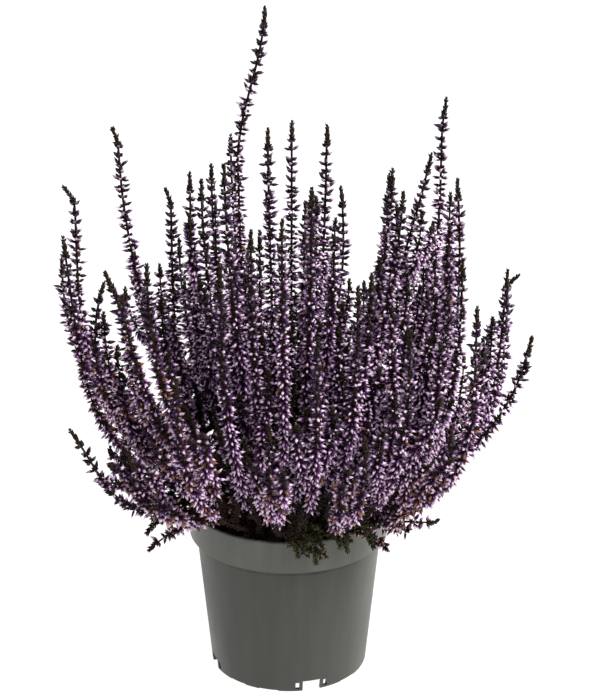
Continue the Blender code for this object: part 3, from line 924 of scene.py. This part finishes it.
def leafy_rings(start, end, girths, leaves, step, leafage, spread):
    rings = []
    count = max(1, round((end - start) / step))
    for number in range(count):
        share = number / count
        numbers = {"share": 1.0, "leaves": leaves, "leafage": leafage, "spread": spread,
                   "girth": between(girths, share)}
        rings.append((between((start, end), share), numbers))
    return rings


def spike_rings(walk, flowering, dice, ripeness=1.0):
    foot = walk.length - ROOT_DEPTH
    rings = tip_rings(TIP_GREEN, STEM_TIP_GIRTH)
    rings += bud_rings(TIP_GREEN, flowering, (STEM_TIP_GIRTH, STEM_MIDDLE_GIRTH), dice, ripeness)
    rings += leafy_rings(flowering, foot - BARE_LENGTH, (STEM_MIDDLE_GIRTH, STEM_FOOT_GIRTH), *STEM_LEAVES)
    return rings + [(back, {"girth": STEM_FOOT_GIRTH}) for back in (foot, walk.length)]


def spray_rings(walk, dice, green, bare, girth, first_share):
    """A spray in flower that ends inside the stem that it leaves."""
    rings = tip_rings(green, girth * TWIG_TAPER)
    girths = (girth * TWIG_TAPER, girth)
    rings += bud_rings(green, walk.length - bare, girths, dice, first_share=first_share)
    rings += leafy_rings(walk.length - bare, walk.length, (girth, girth), *SPRAY_LEAVES)
    return rings + [(walk.length, {"girth": girth})]


def twig_rings(walk, girth, leaves=TWIG_LEAVES):
    """A twig with green leaves only."""
    rings = leafy_rings(LEAFY_TIP, walk.length, (girth * TWIG_TAPER, girth), *leaves)
    return rings + [(walk.length, {"girth": girth})]


trial = Walk(spike_path(TALLEST))
trial_rings = spike_rings(trial, SPIKES[TALLEST][FLOWERING] * MM, random.Random(1))
print("the tallest spike is", round(trial.length / MM), "mm long, with",
      sum(numbers.get("crowd", 0) for _, numbers in trial_rings), "buds")

# %% [markdown]
# ## Side sprays and green twigs
# Heather branches all the way up. Between the main spikes stand short sprays in flower, about four to seven
# centimetres long, that leave a stem at an angle and turn up beside it. Deeper in, green twigs fill the bush
# and make it dark inside. Both are drawn by each stem's own seeded dice, and leave it sideways or inward, so
# that the outline stays as it is. Longer sprays fill the gaps that are left or hang over the rim, and a
# table further down gives each its place.

# %% Branches on a stem
# Kinds of spray: the green tip, the bare foot, the girth, and how far down the flowers the first buds are
SIDE_SPIKE = (TIP_GREEN * 0.7, 0.014, 0.0009, 0.2)
LONG_SPRAY = (TIP_GREEN * 0.6, 0.014, 0.0008, 0.2)
SMALL_SPRAY = (0.003, 0.004, 0.0006, 0.45)
DRAWN_SPRAY = (0.006, 0.005, 0.0006, 0.2)
SMALL_LENGTH = 0.045
TWIG_GIRTH = 0.0005
# Where on the stem branches fork, how far they rise and how far they reach out
SPRAY_SHARES = (0.12, 0.46)
HIGH_SPRAY_SHARES = (0.48, 0.66)
SPRAY_RISES = (0.036, 0.068)
TWIG_SHARES = (0.03, 0.46)
TWIG_RISES = (0.020, 0.048)
BRANCH_REACHES = (0.007, 0.017)
OUTWARD_GAP = math.radians(60)
BRANCH_START = 0.006
BRANCH_POINTS = 10
# Shares of a branch's rise that go along its stem and straight up, and of its reach at the fork
BRANCH_ALONG = 0.8
BRANCH_UP = 0.2
BRANCH_LEAVING = 0.7
BRANCH_STRAIGHT = 0.4
LONG_UPRIGHT = 0.35


def branch_path(walk, dice, shares, rises):
    """Leaves the stem sideways or inward, so that the outline stays, and turns up beside it."""
    fork, toward = walk.at(walk.length * (1 - dice.uniform(*shares)))
    angle = math.atan2(fork.y, fork.x) + dice.uniform(OUTWARD_GAP, math.tau - OUTWARD_GAP)
    out = Vector((math.cos(angle), math.sin(angle), 0)) * dice.uniform(*BRANCH_REACHES)
    rise = dice.uniform(*rises)
    tip = fork + out + toward * rise * BRANCH_ALONG + Vector((0, 0, rise * BRANCH_UP))
    leaving = fork + out * BRANCH_LEAVING + toward * BRANCH_START
    before_tip = tip - toward * rise * BRANCH_STRAIGHT
    return Walk(bezier_path(fork, leaving, before_tip, tip, BRANCH_POINTS))


def long_spray_path(walk, share, tip):
    """Leaves the stem outward and ends upright where it rises, or hanging where it falls."""
    fork = walk.at(walk.length * (1 - share))[0]
    tip = Vector(tip) * MM
    out = Vector((tip.x - fork.x, tip.y - fork.y, 0)) * SIDE_SWING
    upright = Vector((0, 0, max(0, tip.z - fork.z) * LONG_UPRIGHT))
    return bezier_path(fork, fork + out + Vector((0, 0, SIDE_FORK_RISE)), tip - upright, tip)


def add_branches(lines, walk, dice, sprays, twigs, shares):
    for _ in range(sprays):
        branch = branch_path(walk, dice, shares, SPRAY_RISES)
        lines.add(branch, spray_rings(branch, dice, *DRAWN_SPRAY))
    for _ in range(twigs):
        branch = branch_path(walk, dice, TWIG_SHARES, TWIG_RISES)
        lines.add(branch, twig_rings(branch, TWIG_GIRTH))


# %% From lines to plain meshes
BUD_ANGLES = (math.radians(52), math.radians(112))
KEPT_ATTRIBUTES = {CHART, "position", "material_index", "sharp_face"}


def grow(name, lines, seed, withered, paleness, leaves):
    """A new piece: lines that the growth tree dresses."""
    piece = placed(name, lines.shape)
    give_tree(piece, growth_tree, {
        "Seed": seed, "Withered": withered, "Paleness": paleness, "Leaf finish": leaves,
        "Bud angle at top": BUD_ANGLES[0], "Bud angle at foot": BUD_ANGLES[1]})
    return piece


def settle(pieces):
    """Turns pieces with live nodes into plain meshes, all from one evaluation."""
    graph = bpy.context.evaluated_depsgraph_get()
    meshes = [bpy.data.meshes.new_from_object(piece.evaluated_get(graph)) for piece in pieces]
    for piece, mesh in zip(pieces, meshes):
        piece.modifiers.clear()
        spent = piece.data
        piece.data = mesh
        bpy.data.meshes.remove(spent)
        for name in [attribute.name for attribute in mesh.attributes]:
            if name not in KEPT_ATTRIBUTES and not name.startswith("."):
                mesh.attributes.remove(mesh.attributes[name])


def triangles(pieces):
    return sum(len(face.vertices) - 2 for piece in pieces for face in piece.data.polygons)


# %% Grow the flower spikes
SEED = 41
SEEDS_APART = 100
SPRAYS_EACH = 4
MORE_SPRAYS = {2: 1, 8: 1, 10: 1, 11: 1, 21: 1, 22: 1, 23: 2, 24: 2, 25: 2, 33: 1}
TWIGS_EACH = 6
# Longer sprays, by their parent's place in the list: the share of the stem where they fork, and the tip
LONG_SPRAYS = {
    2: ((0.25, -74, 4, 232), (0.45, -95, 10, 236)),
    3: ((0.25, -102, -50, 162), (0.4, -104, -45, 243), (0.34, -96, -58, 228)),
    4: ((0.42, -92, -66, 262), (0.25, -84, -50, 214)),
    6: ((0.4, -75, 16, 248),),
    8: ((0.34, -42, 8, 288), (0.28, -56, -4, 262), (0.38, -50, -22, 254), (0.6, -56, -14, 290)),
    10: ((0.34, -24, -34, 262),),
    15: ((0.34, 14, 34, 286),),
    16: (
        (0.34, 16, -12, 300), (0.4, 31, -20, 238), (0.55, 27, 12, 278), (0.25, 29, -22, 238),
        (0.42, 35, -8, 248),
    ),
    17: ((0.34, 26, -44, 288), (0.5, 9, -50, 292)),
    19: ((0.4, 64, 10, 239), (0.3, 52, -10, 262)),
    20: ((0.34, 70, 60, 236),),
    21: (
        (0.25, 43, -30, 256), (0.4, 68, -20, 251), (0.3, 67, -50, 235), (0.25, 44, -48, 226),
        (0.66, 61, -30, 302),
    ),
    22: (
        (0.25, 80, -6, 240), (0.3, 76, -4, 243), (0.34, 74, 16, 226), (0.66, 82, 4, 276),
        (0.6, 76, -8, 290),
    ),
    23: (
        (0.25, 86, 22, 249), (0.4, 74, 36, 238), (0.45, 80, 42, 248), (0.5, 85, 44, 264),
        (0.4, 95, 40, 264), (0.3, 70, 28, 226),
    ),
    24: (
        (0.25, 84, -22, 238), (0.4, 92, -20, 262), (0.4, 84, -30, 246), (0.5, 90, -28, 276),
        (0.3, 80, -34, 222), (0.6, 91, -22, 306),
    ),
    25: (
        (0.12, 48, -46, 184), (0.3, 58, -60, 252), (0.4, 89, -58, 258), (0.25, 84, -82, 240),
        (0.34, 94, -60, 226),
    ),
    28: ((0.34, 112, -30, 212), (0.3, 101, -22, 206), (0.5, 117, -20, 230)),
    33: ((0.25, 29, -52, 236), (0.25, 50, -44, 198), (0.2, 31, -60, 212), (0.14, 46, -56, 182)),
    37: ((0.42, -2, -112, 176),),
    39: ((0.4, -94, -56, 164),),
    40: ((0.25, -85, -52, 148), (0.25, -70, -58, 110), (0.22, -80, -60, 102)),
    41: (
        (0.16, 70, -58, 114), (0.1, 67, -58, 150), (0.14, 78, -54, 146), (0.25, 85, -66, 124),
        (0.12, 57, -64, 104),
    ),
}
# One stem at the left is young nearly all the way down
RIPENESS = {39: 0.35}
# Stems over the front of the rim, whose lowest flowers have gone: the share of the flowers that is left
FEWER_FLOWERS = {34: 0.94, 35: 0.90, 36: 0.90, 37: 0.66, 38: 0.64, 40: 0.90, 41: 0.88}
# By how many tones a stem's buds are paler than chance makes them
PALENESS = {
    1: 0.8, 14: 0.9, 17: 0.9, 19: 1.2, 20: 1.2, 21: 1.4, 22: 2.0, 23: 2.6, 24: 2.6, 25: 2.4, 28: 1.2, 33: 1.2,
    36: 0.8, 40: 0.8, 41: 1.0,
}
PALENESS_REST = 0.4
# The share of the buds that have withered
WITHERED = {
    0: 0.10, 1: 0.12, 3: 0.10, 4: 0.12, 5: 0.12, 26: 0.10, 36: 0.20, 37: 0.10, 38: 0.16, 40: 0.18, 41: 0.26,
}
WITHERED_REST = 0.008

spikes = []
for number, row in enumerate(SPIKES):
    dice = random.Random(SEED + number)
    walk = Walk(spike_path(number))
    lines = Lines()
    flowering = row[FLOWERING] * (MM * FEWER_FLOWERS.get(number, 1.0))
    lines.add(walk, spike_rings(walk, flowering, dice, RIPENESS.get(number, 1.0)))
    if number in SIDE_SPIKES:
        side = Walk(side_path(walk, *SIDE_SPIKES[number]))
        lines.add(side, spray_rings(side, dice, *SIDE_SPIKE))
    for share, *tip in LONG_SPRAYS.get(number, ()):
        spray = Walk(long_spray_path(walk, share, tip))
        kind = LONG_SPRAY if spray.length > SMALL_LENGTH else SMALL_SPRAY
        lines.add(spray, spray_rings(spray, dice, *kind))
    shares = HIGH_SPRAY_SHARES if number in FEWER_FLOWERS else SPRAY_SHARES
    add_branches(lines, walk, dice, SPRAYS_EACH + MORE_SPRAYS.get(number, 0), TWIGS_EACH, shares)
    spikes.append(grow(f"heather_spike_{number + 1:02d}", lines, SEED + SEEDS_APART * number,
                       WITHERED.get(number, WITHERED_REST), PALENESS.get(number, PALENESS_REST), leaf_finish))
settle(spikes)
for number, spike in enumerate(spikes):
    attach(spike, "root")
    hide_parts(f"flower_spike_{number + 1:02d}")
print("triangles on the spikes:", triangles(spikes), "at most", max(triangles([spike]) for spike in spikes))

# %% [markdown]
# ## Green shoots over the rim
# A few shoots bear no flowers. They rise from the compost near the rim and hang over it, closely set with
# small leaves and with short leafy twigs. The same tree grows them, from lines with no buds.

# %% Grow the green shoots
# Base, two bend points and tip, in millimetres
GREEN_SHOOTS = (
    ((0, -50, 103), (0, -55, 121), (3, -73, 118), (5.5, -66, 101)),
    ((10.5, -48, 103), (11.5, -54, 128), (15, -74, 117), (16, -66.5, 97)),
    ((21, -45, 103), (23, -50, 121), (31, -68, 121), (34, -65.5, 104)),
    ((30.5, -40.5, 103), (32.6, -45, 126), (42, -61, 122), (49, -63, 105)),
    ((-44, -21.5, 103), (-48, -23, 126), (-67, -36, 123), (-82, -46, 106)),
)
SHOOT_SEED = SEED + 7000
SHOOT_DICE_SEED = SEED + 7
SHOOT_GIRTH = 0.0009
SHOOT_TIP_GIRTH = SHOOT_GIRTH * 0.5
SHOOT_LEAVES = (5, 0.0016, 1.25, 0.7)
SHOOT_NECK = 0.008
SHOOT_TWIGS = 20
SHOOT_TWIG_LEAVES = (4, 0.0021, 1.2, 0.65)
SHOOT_TWIG_SHARES = (0.12, 0.62)
SHOOT_TWIG_REACHES = (0.004, 0.008)
SHOOT_TWIG_POINTS = 6
# Shares of a twig's reach: out and along at its tip, out where it leaves, and straight at the end
SHOOT_TWIG_OUT = 0.8
SHOOT_TWIG_ALONG = 0.5
SHOOT_TWIG_LEAVING = 0.5
SHOOT_TWIG_STRAIGHT = 0.3
SHOOT_WITHERED = 0.06


def shoot_path(points):
    path = bezier_path(*[Vector(point) * MM for point in points])
    root = Vector((path[0].x, path[0].y, SOIL_Z - ROOT_DEPTH))
    return [root] + path


def shoot_rings(walk):
    foot = walk.length - ROOT_DEPTH - SHOOT_NECK
    rings = leafy_rings(LEAFY_TIP, foot, (SHOOT_TIP_GIRTH, SHOOT_GIRTH), *SHOOT_LEAVES)
    return rings + [(back, {"girth": SHOOT_GIRTH}) for back in (foot, walk.length)]


def shoot_twig_path(walk, dice):
    """A short twig that leaves a shoot at any side and bends to the shoot's own direction."""
    fork, toward = walk.at(walk.length * dice.uniform(*SHOOT_TWIG_SHARES))
    out = toward.orthogonal()
    out.rotate(Quaternion(toward, dice.uniform(0, math.tau)))
    reach = dice.uniform(*SHOOT_TWIG_REACHES)
    tip = fork + out * reach * SHOOT_TWIG_OUT + toward * reach * SHOOT_TWIG_ALONG
    leaving = fork + out * reach * SHOOT_TWIG_LEAVING
    before_tip = tip - toward * reach * SHOOT_TWIG_STRAIGHT
    return Walk(bezier_path(fork, leaving, before_tip, tip, SHOOT_TWIG_POINTS))


shoots = []
dice = random.Random(SHOOT_DICE_SEED)
for number, points in enumerate(GREEN_SHOOTS):
    walk = Walk(shoot_path(points))
    lines = Lines()
    lines.add(walk, shoot_rings(walk))
    for _ in range(SHOOT_TWIGS):
        twig = shoot_twig_path(walk, dice)
        lines.add(twig, twig_rings(twig, TWIG_GIRTH, SHOOT_TWIG_LEAVES))
    name = f"heather_shoot_{number + 1}"
    shoots.append(grow(name, lines, SHOOT_SEED + number, SHOOT_WITHERED, 0.0, shoot_finish_painted_lighter))
settle(shoots)
for number, shoot in enumerate(shoots):
    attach(shoot, "root")
    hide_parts(f"green_shoot_{number + 1}")
print("triangles on the shoots:", triangles(shoots))

# %% [markdown]
# ## The pot
# A nursery pot is thin polypropylene: a tapered body, a step, and a collar that stacks on the next pot.
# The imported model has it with 36 flat sides. Turned again with 120 sides and a rounded rim it looks moulded.
# Notches under the foot let the water out, small slots stand beside them, and the foot's edge is scalloped
# between. They are cut with a Boolean from the same boxes as in the model.

# %% Pot sizes
POT_HEIGHT = 0.106
RIM_RADIUS = 0.060
COLLAR_FOOT_Z = 0.0862
SHOULDER_Z = 0.0825
BODY_TOP_RADIUS = 0.0549
FOOT_RADIUS = 0.0467
FOOT_CHAMFER = 0.0008
FOOT_WIDTH = 0.0017
COLLAR_DRAFT = 0.0008
WALL = 0.0014
FLOOR_Z = 0.0072
CLEAR = 0.0003
POT_SIDES = 120


def inner_radius(height, offset):
    """The pot's inner wall at a height, less an offset."""
    if height >= COLLAR_FOOT_Z:
        return RIM_RADIUS - COLLAR_DRAFT - WALL - offset
    share = height / SHOULDER_Z
    return FOOT_RADIUS + (BODY_TOP_RADIUS - FOOT_RADIUS) * share - WALL - offset


def arc(centre, radius, first, last, steps):
    """Points of a round stretch of a profile, by angles in degrees."""
    angles = [math.radians(first + (last - first) * step / steps) for step in range(steps + 1)]
    return [(centre[0] + radius * math.cos(angle), centre[1] + radius * math.sin(angle)) for angle in angles]


def turned(profile, sides, lift=None):
    """Turns a closed profile of (radius, height) whose first and last points lie on the axis."""
    shape = bmesh.new()
    top = lift(0, 0) if lift else 0
    poles = [shape.verts.new((0, 0, profile[0][1])), shape.verts.new((0, 0, profile[-1][1] + top))]
    rings = []
    for radius, height in profile[1:-1]:
        corners = []
        for side in range(sides):
            x = radius * math.cos(math.tau * side / sides)
            y = radius * math.sin(math.tau * side / sides)
            raised = lift(x, y) if lift and height >= SOIL_Z else 0
            corners.append(shape.verts.new((x, y, height + raised)))
        rings.append(corners)
    skin(shape, poles[0], rings, poles[1], swapped=True)
    bmesh.ops.recalc_face_normals(shape, faces=shape.faces)
    return shape


# %% Turn the pot and cut its foot
NOTCH_COUNT = 4
FIRST_NOTCH_ANGLE = math.radians(-73)
CUTTER_LENGTH = 0.016
# Boxes through the foot: the width, the height, the middle's height, and the angles from a notch in degrees
CUTTERS = {
    "notch": (0.011, 0.0138, 0, (0,)),
    "slot": (0.0024, 0.0044, 0.0038, (-10.5, 10.5)),
    "scallop": (0.012, 0.0016, 0, (32, 58)),
}
DRAIN_RADIUS = 0.003
DRAIN_RING_RADIUS = 0.028
DRAIN_SIDES = 24
SHOULDER_EDGE = (0.0006, 0.0003)
COLLAR_BEVEL = 0.0007
COLLAR_EDGE = 0.0006
SHARP_ANGLE = math.radians(32)


def add_cutter(name, shape, place, turn, cutters):
    """Moves a shape from the origin, turns it about the pot's axis and keeps it with the cutters."""
    bmesh.ops.translate(shape, vec=place, verts=shape.verts)
    bmesh.ops.rotate(shape, matrix=Matrix.Rotation(turn, 3, "Z"), verts=shape.verts)
    cutters.objects.link(bpy.data.objects.new(name, mesh_from(name, shape)))


def pot_cutters():
    cutters = bpy.data.collections.new("pot cutters")
    bpy.context.scene.collection.children.link(cutters)
    for notch in range(NOTCH_COUNT):
        angle = FIRST_NOTCH_ANGLE + math.tau * notch / NOTCH_COUNT
        for name, (width, height, middle, turns) in CUTTERS.items():
            for turn in turns:
                box = bmesh.new()
                bmesh.ops.create_cube(box, size=1)
                bmesh.ops.scale(box, vec=(CUTTER_LENGTH, width, height), verts=box.verts)
                add_cutter(name, box, (FOOT_RADIUS, 0, middle), angle + math.radians(turn), cutters)
        drain = bmesh.new()
        bmesh.ops.create_cone(drain, cap_ends=True, segments=DRAIN_SIDES, radius1=DRAIN_RADIUS,
                              radius2=DRAIN_RADIUS, depth=FLOOR_Z)
        add_cutter("drain", drain, (DRAIN_RING_RADIUS, 0, FLOOR_Z + WALL / 2), angle, cutters)
    return cutters


def make_pot():
    floor_top = FLOOR_Z + WALL
    collar = RIM_RADIUS - COLLAR_DRAFT
    rim_inner = inner_radius(POT_HEIGHT, 0)
    rim_round = (RIM_RADIUS - rim_inner) / 2
    profile = [(0, FLOOR_Z), (inner_radius(FLOOR_Z, 0), FLOOR_Z)]
    profile += [(FOOT_RADIUS - FOOT_CHAMFER - FOOT_WIDTH, 0)]
    profile += arc((FOOT_RADIUS - FOOT_CHAMFER, FOOT_CHAMFER), FOOT_CHAMFER, -90, 0, 4)
    profile += [(BODY_TOP_RADIUS, SHOULDER_Z)]
    profile += [(BODY_TOP_RADIUS + SHOULDER_EDGE[0], SHOULDER_Z + SHOULDER_EDGE[1])]
    profile += [(collar - COLLAR_BEVEL, COLLAR_FOOT_Z - COLLAR_BEVEL)]
    profile += [(collar, COLLAR_FOOT_Z), (collar, COLLAR_FOOT_Z + COLLAR_EDGE)]
    profile += arc((RIM_RADIUS - rim_round, POT_HEIGHT - rim_round), rim_round, 0, 180, 8)
    profile += [(rim_inner, COLLAR_FOOT_Z + CLEAR), (inner_radius(SHOULDER_Z, 0), SHOULDER_Z)]
    profile += [(inner_radius(floor_top, 0), floor_top), (0, floor_top)]
    pot = placed("nursery_pot", turned(profile, POT_SIDES))
    cutters = pot_cutters()
    cut = pot.modifiers.new("cut", "BOOLEAN")
    cut.operand_type = "COLLECTION"
    cut.collection = cutters
    cut.operation = "DIFFERENCE"
    cut.solver = "EXACT"
    settle([pot])
    for cutter in list(cutters.objects):
        bpy.data.objects.remove(cutter, do_unlink=True)
    bpy.data.collections.remove(cutters)
    pot.data.shade_smooth()
    pot.data.set_sharp_from_angle(angle=SHARP_ANGLE)
    return pot


# %% The plastic's finish
POT_GREEN = srgb(67, 69, 62)
POT_DUSTY = srgb(83, 83, 77)
POT_COLLAR_PAINTED_LIGHT = srgb(104, 106, 98)
POT_STEP_PAINTED_SHADOW = srgb(40, 41, 37)
# Noises as scale and detail
STREAKS = (130.0, 3.0)
STREAK_STRETCH = (1.0, 1.0, 0.06)
CLOUDS = (22.0, 4.0)
PLASTIC_GRAIN = (1400.0, 1.0)
WORN = (0.42, 0.66)
WORN_SHARE = 0.45
SATIN = (0.3, 0.7, 0.36, 0.52)
PLASTIC_SPECULAR = 0.35
# How much each noise counts in the wear and in the relief, and the relief's strength and depth
STREAKS_IN_WEAR = 0.6
CLOUDS_IN_WEAR = 0.4
GRAIN_IN_RELIEF = 0.4
PLASTIC_RELIEF = (0.08, 0.0004)
# Heights over which painted shadow darkens the step and painted light lightens the collar above it
PAINTED_STEP_SHADOW_HEIGHTS = (SHOULDER_Z - 0.001, SHOULDER_Z)
PAINTED_COLLAR_LIGHT_HEIGHTS = (COLLAR_FOOT_Z - 0.0012, COLLAR_FOOT_Z + 0.0004)


def plastic_paint(bench):
    """Satin plastic with faint upright streaks, with painted shadow in the step under a collar lightened by
    painted light.
    """
    place = bench.on_object()
    streaks = bench.noise(bench.add("ShaderNodeMapping", Vector=place, Scale=STREAK_STRETCH), *STREAKS)
    clouds = bench.noise(place, *CLOUDS)
    worn = bench.ramped(streaks * STREAKS_IN_WEAR + clouds * CLOUDS_IN_WEAR, *WORN)
    height = bench.part(place, "Z")
    # Painted shadow in the step under the collar, then painted light that lightens the collar itself
    body = bench.mixed(bench.ramped(height, *PAINTED_STEP_SHADOW_HEIGHTS), POT_GREEN, POT_STEP_PAINTED_SHADOW)
    body = bench.mixed(bench.ramped(height, *PAINTED_COLLAR_LIGHT_HEIGHTS), body, POT_COLLAR_PAINTED_LIGHT)
    body = bench.mixed(worn * WORN_SHARE, body, POT_DUSTY)
    uneven = bench.noise(place, *PLASTIC_GRAIN) * GRAIN_IN_RELIEF + streaks
    relief = bench.relief(uneven, *PLASTIC_RELIEF)
    return {**finish(body, bench.ramped(clouds, *SATIN), PLASTIC_SPECULAR), "Normal": relief}


pot = make_pot()
pot.data.materials.clear()
pot.data.materials.append(made_material("grey green plastic", plastic_paint))
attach(pot, "root")
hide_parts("pot")
print("triangles on the pot:", triangles([pot]))

# %% [markdown]
# ## The compost
# Peat compost is a loose mass of dark crumbs and fibres. Its surface is turned like the pot, with many
# rings so that small waves and lumps raise it. Then a second tree scatters crumbs on the top by chance,
# and with them a few fallen leaves.

# %% Compost surface
SOIL_RADIUS = 0.047
SOIL_LUMP = 0.0011
SOIL_SIDES = 96
SOIL_RING_STEP = 0.0016
SOIL_GAP = 0.0002
SOIL_EDGE = 0.001
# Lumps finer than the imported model's: the layer of noise, how many to a metre, and how high
FINE_LUMPS = ((0, 420, 0.0006), (3, 900, 0.0004))


def soil_surface(x, y):
    """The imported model's mound and waves, with finer crumbs."""
    reach = math.hypot(x, y) / SOIL_RADIUS
    waves = math.sin(190 * x + 1.3) * math.cos(170 * y) + 0.6 * math.sin(330 * y - 210 * x)
    low = SOIL_MOUND * max(0, 1 - reach * reach) + SOIL_LUMP * (1 + waves / 1.6) / 2
    fine = [noise.noise(Vector((x, y, layer)) * scale) * height for layer, scale, height in FINE_LUMPS]
    return low + sum(fine)


def make_soil():
    foot_z = FLOOR_Z + WALL + CLEAR
    top = inner_radius(POT_HEIGHT, CLEAR + SOIL_GAP)
    profile = [(0, foot_z), (inner_radius(foot_z, CLEAR), foot_z)]
    profile += [(inner_radius(SHOULDER_Z, CLEAR), SHOULDER_Z + CLEAR), (top, COLLAR_FOOT_Z + 3 * CLEAR)]
    profile += [(top, SOIL_Z - SOIL_EDGE)]
    count = round(top / SOIL_RING_STEP)
    profile += [(top * (1 - step / count), SOIL_Z) for step in range(count)]
    profile.append((0, SOIL_Z))
    soil = placed("peat_compost", turned(profile, SOIL_SIDES, soil_surface))
    soil.data.shade_smooth()
    return soil


# %% The compost's finish
PEAT_DARK = srgb(22, 15, 11)
PEAT_BROWN = srgb(58, 40, 28)
PEAT_FIBRE = srgb(104, 78, 54)
PEAT_CRUMBS = (260.0, 6.0)
PEAT_FIBRES = (700.0, 2.0)
BROWN_CRUMBS = (0.38, 0.64)
SHOWN_FIBRES = (0.62, 0.74)
PEAT_ROUGHNESS = 0.95
PEAT_RELIEF = (0.8, 0.0008)


def peat_paint(bench):
    place = bench.on_object()
    crumbs = bench.noise(place, *PEAT_CRUMBS)
    colour = bench.mixed(bench.ramped(crumbs, *BROWN_CRUMBS), PEAT_DARK, PEAT_BROWN)
    fibres = bench.ramped(bench.noise(place, *PEAT_FIBRES), *SHOWN_FIBRES)
    colour = bench.mixed(fibres, colour, PEAT_FIBRE)
    relief = bench.relief(crumbs, *PEAT_RELIEF)
    return {"Base Color": colour, "Roughness": PEAT_ROUGHNESS, "Normal": relief}


# %% Crumbs and fallen bits
CRUMB_DENSITY = 90000
LITTER_DENSITY = 22000
CRUMB_RADIUS = 0.001
CRUMB_UNEVEN = 0.35
CRUMB_LUMPS = 2600
CRUMB_SIZES = (0.3, 1.1)
LITTER_SIZES = (0.8, 1.5)
LITTER_HEIGHTS = (0.2, 0.9)
ANY_TURN = (math.tau, math.tau, math.tau)
TOP_SLACK = 0.0005


def build_crumb(shape):
    bmesh.ops.create_icosphere(shape, subdivisions=1, radius=CRUMB_RADIUS)
    for corner in shape.verts:
        corner.co *= 1 + CRUMB_UNEVEN * noise.noise(corner.co * CRUMB_LUMPS)


def scattered(bench, surface, density, seed, shape, sizes):
    """Copies of a shape over the top of the compost, lying every way."""
    on_top = bench.part(bench.add("GeometryNodeInputPosition"), "Z").above(SOIL_Z - TOP_SLACK)
    sockets = {"Mesh": surface, "Selection": on_top, "Density": density, "Seed": seed}
    points = bench.add("GeometryNodeDistributePointsOnFaces", {}, sockets, "Points")
    turn = chance(bench, (0, 0, 0), ANY_TURN, seed + 1, "FLOAT_VECTOR")
    copies = copied(bench, shape, Points=points, Rotation=turn, Scale=chance(bench, *sizes, seed + 2))
    return bench.add("GeometryNodeRealizeInstances", Geometry=copies)


def littered(bench, given):
    surface, seed, crumbs, litter = given.values()
    lumps = scattered(bench, surface, crumbs, seed, crumb_shape, CRUMB_SIZES)
    ground = coated(bench, bench.joined((surface, lumps)), peat_finish)
    fallen = scattered(bench, surface, litter, seed + 5, leaf_shape, LITTER_SIZES)
    fallen = charted(bench, fallen, chance(bench, *LITTER_HEIGHTS, seed + 9), float(LEAF_ROWS[2]))
    return bench.joined((coated(bench, fallen, leaf_finish), ground))


crumb_shape = hidden_shape("crumb shape", build_crumb)
peat_finish = made_material("peat", peat_paint)
soil = make_soil()
litter_inputs = {"Geometry": "Geometry", "Seed": "Int", "Crumbs": "Float", "Litter": "Float"}
litter_tree = made_tree("crumbs and litter", litter_inputs, littered)
give_tree(soil, litter_tree, {"Seed": SEED, "Crumbs": CRUMB_DENSITY, "Litter": LITTER_DENSITY})
settle([soil])
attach(soil, "root")
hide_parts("soil")
print("triangles on the compost:", triangles([soil]))
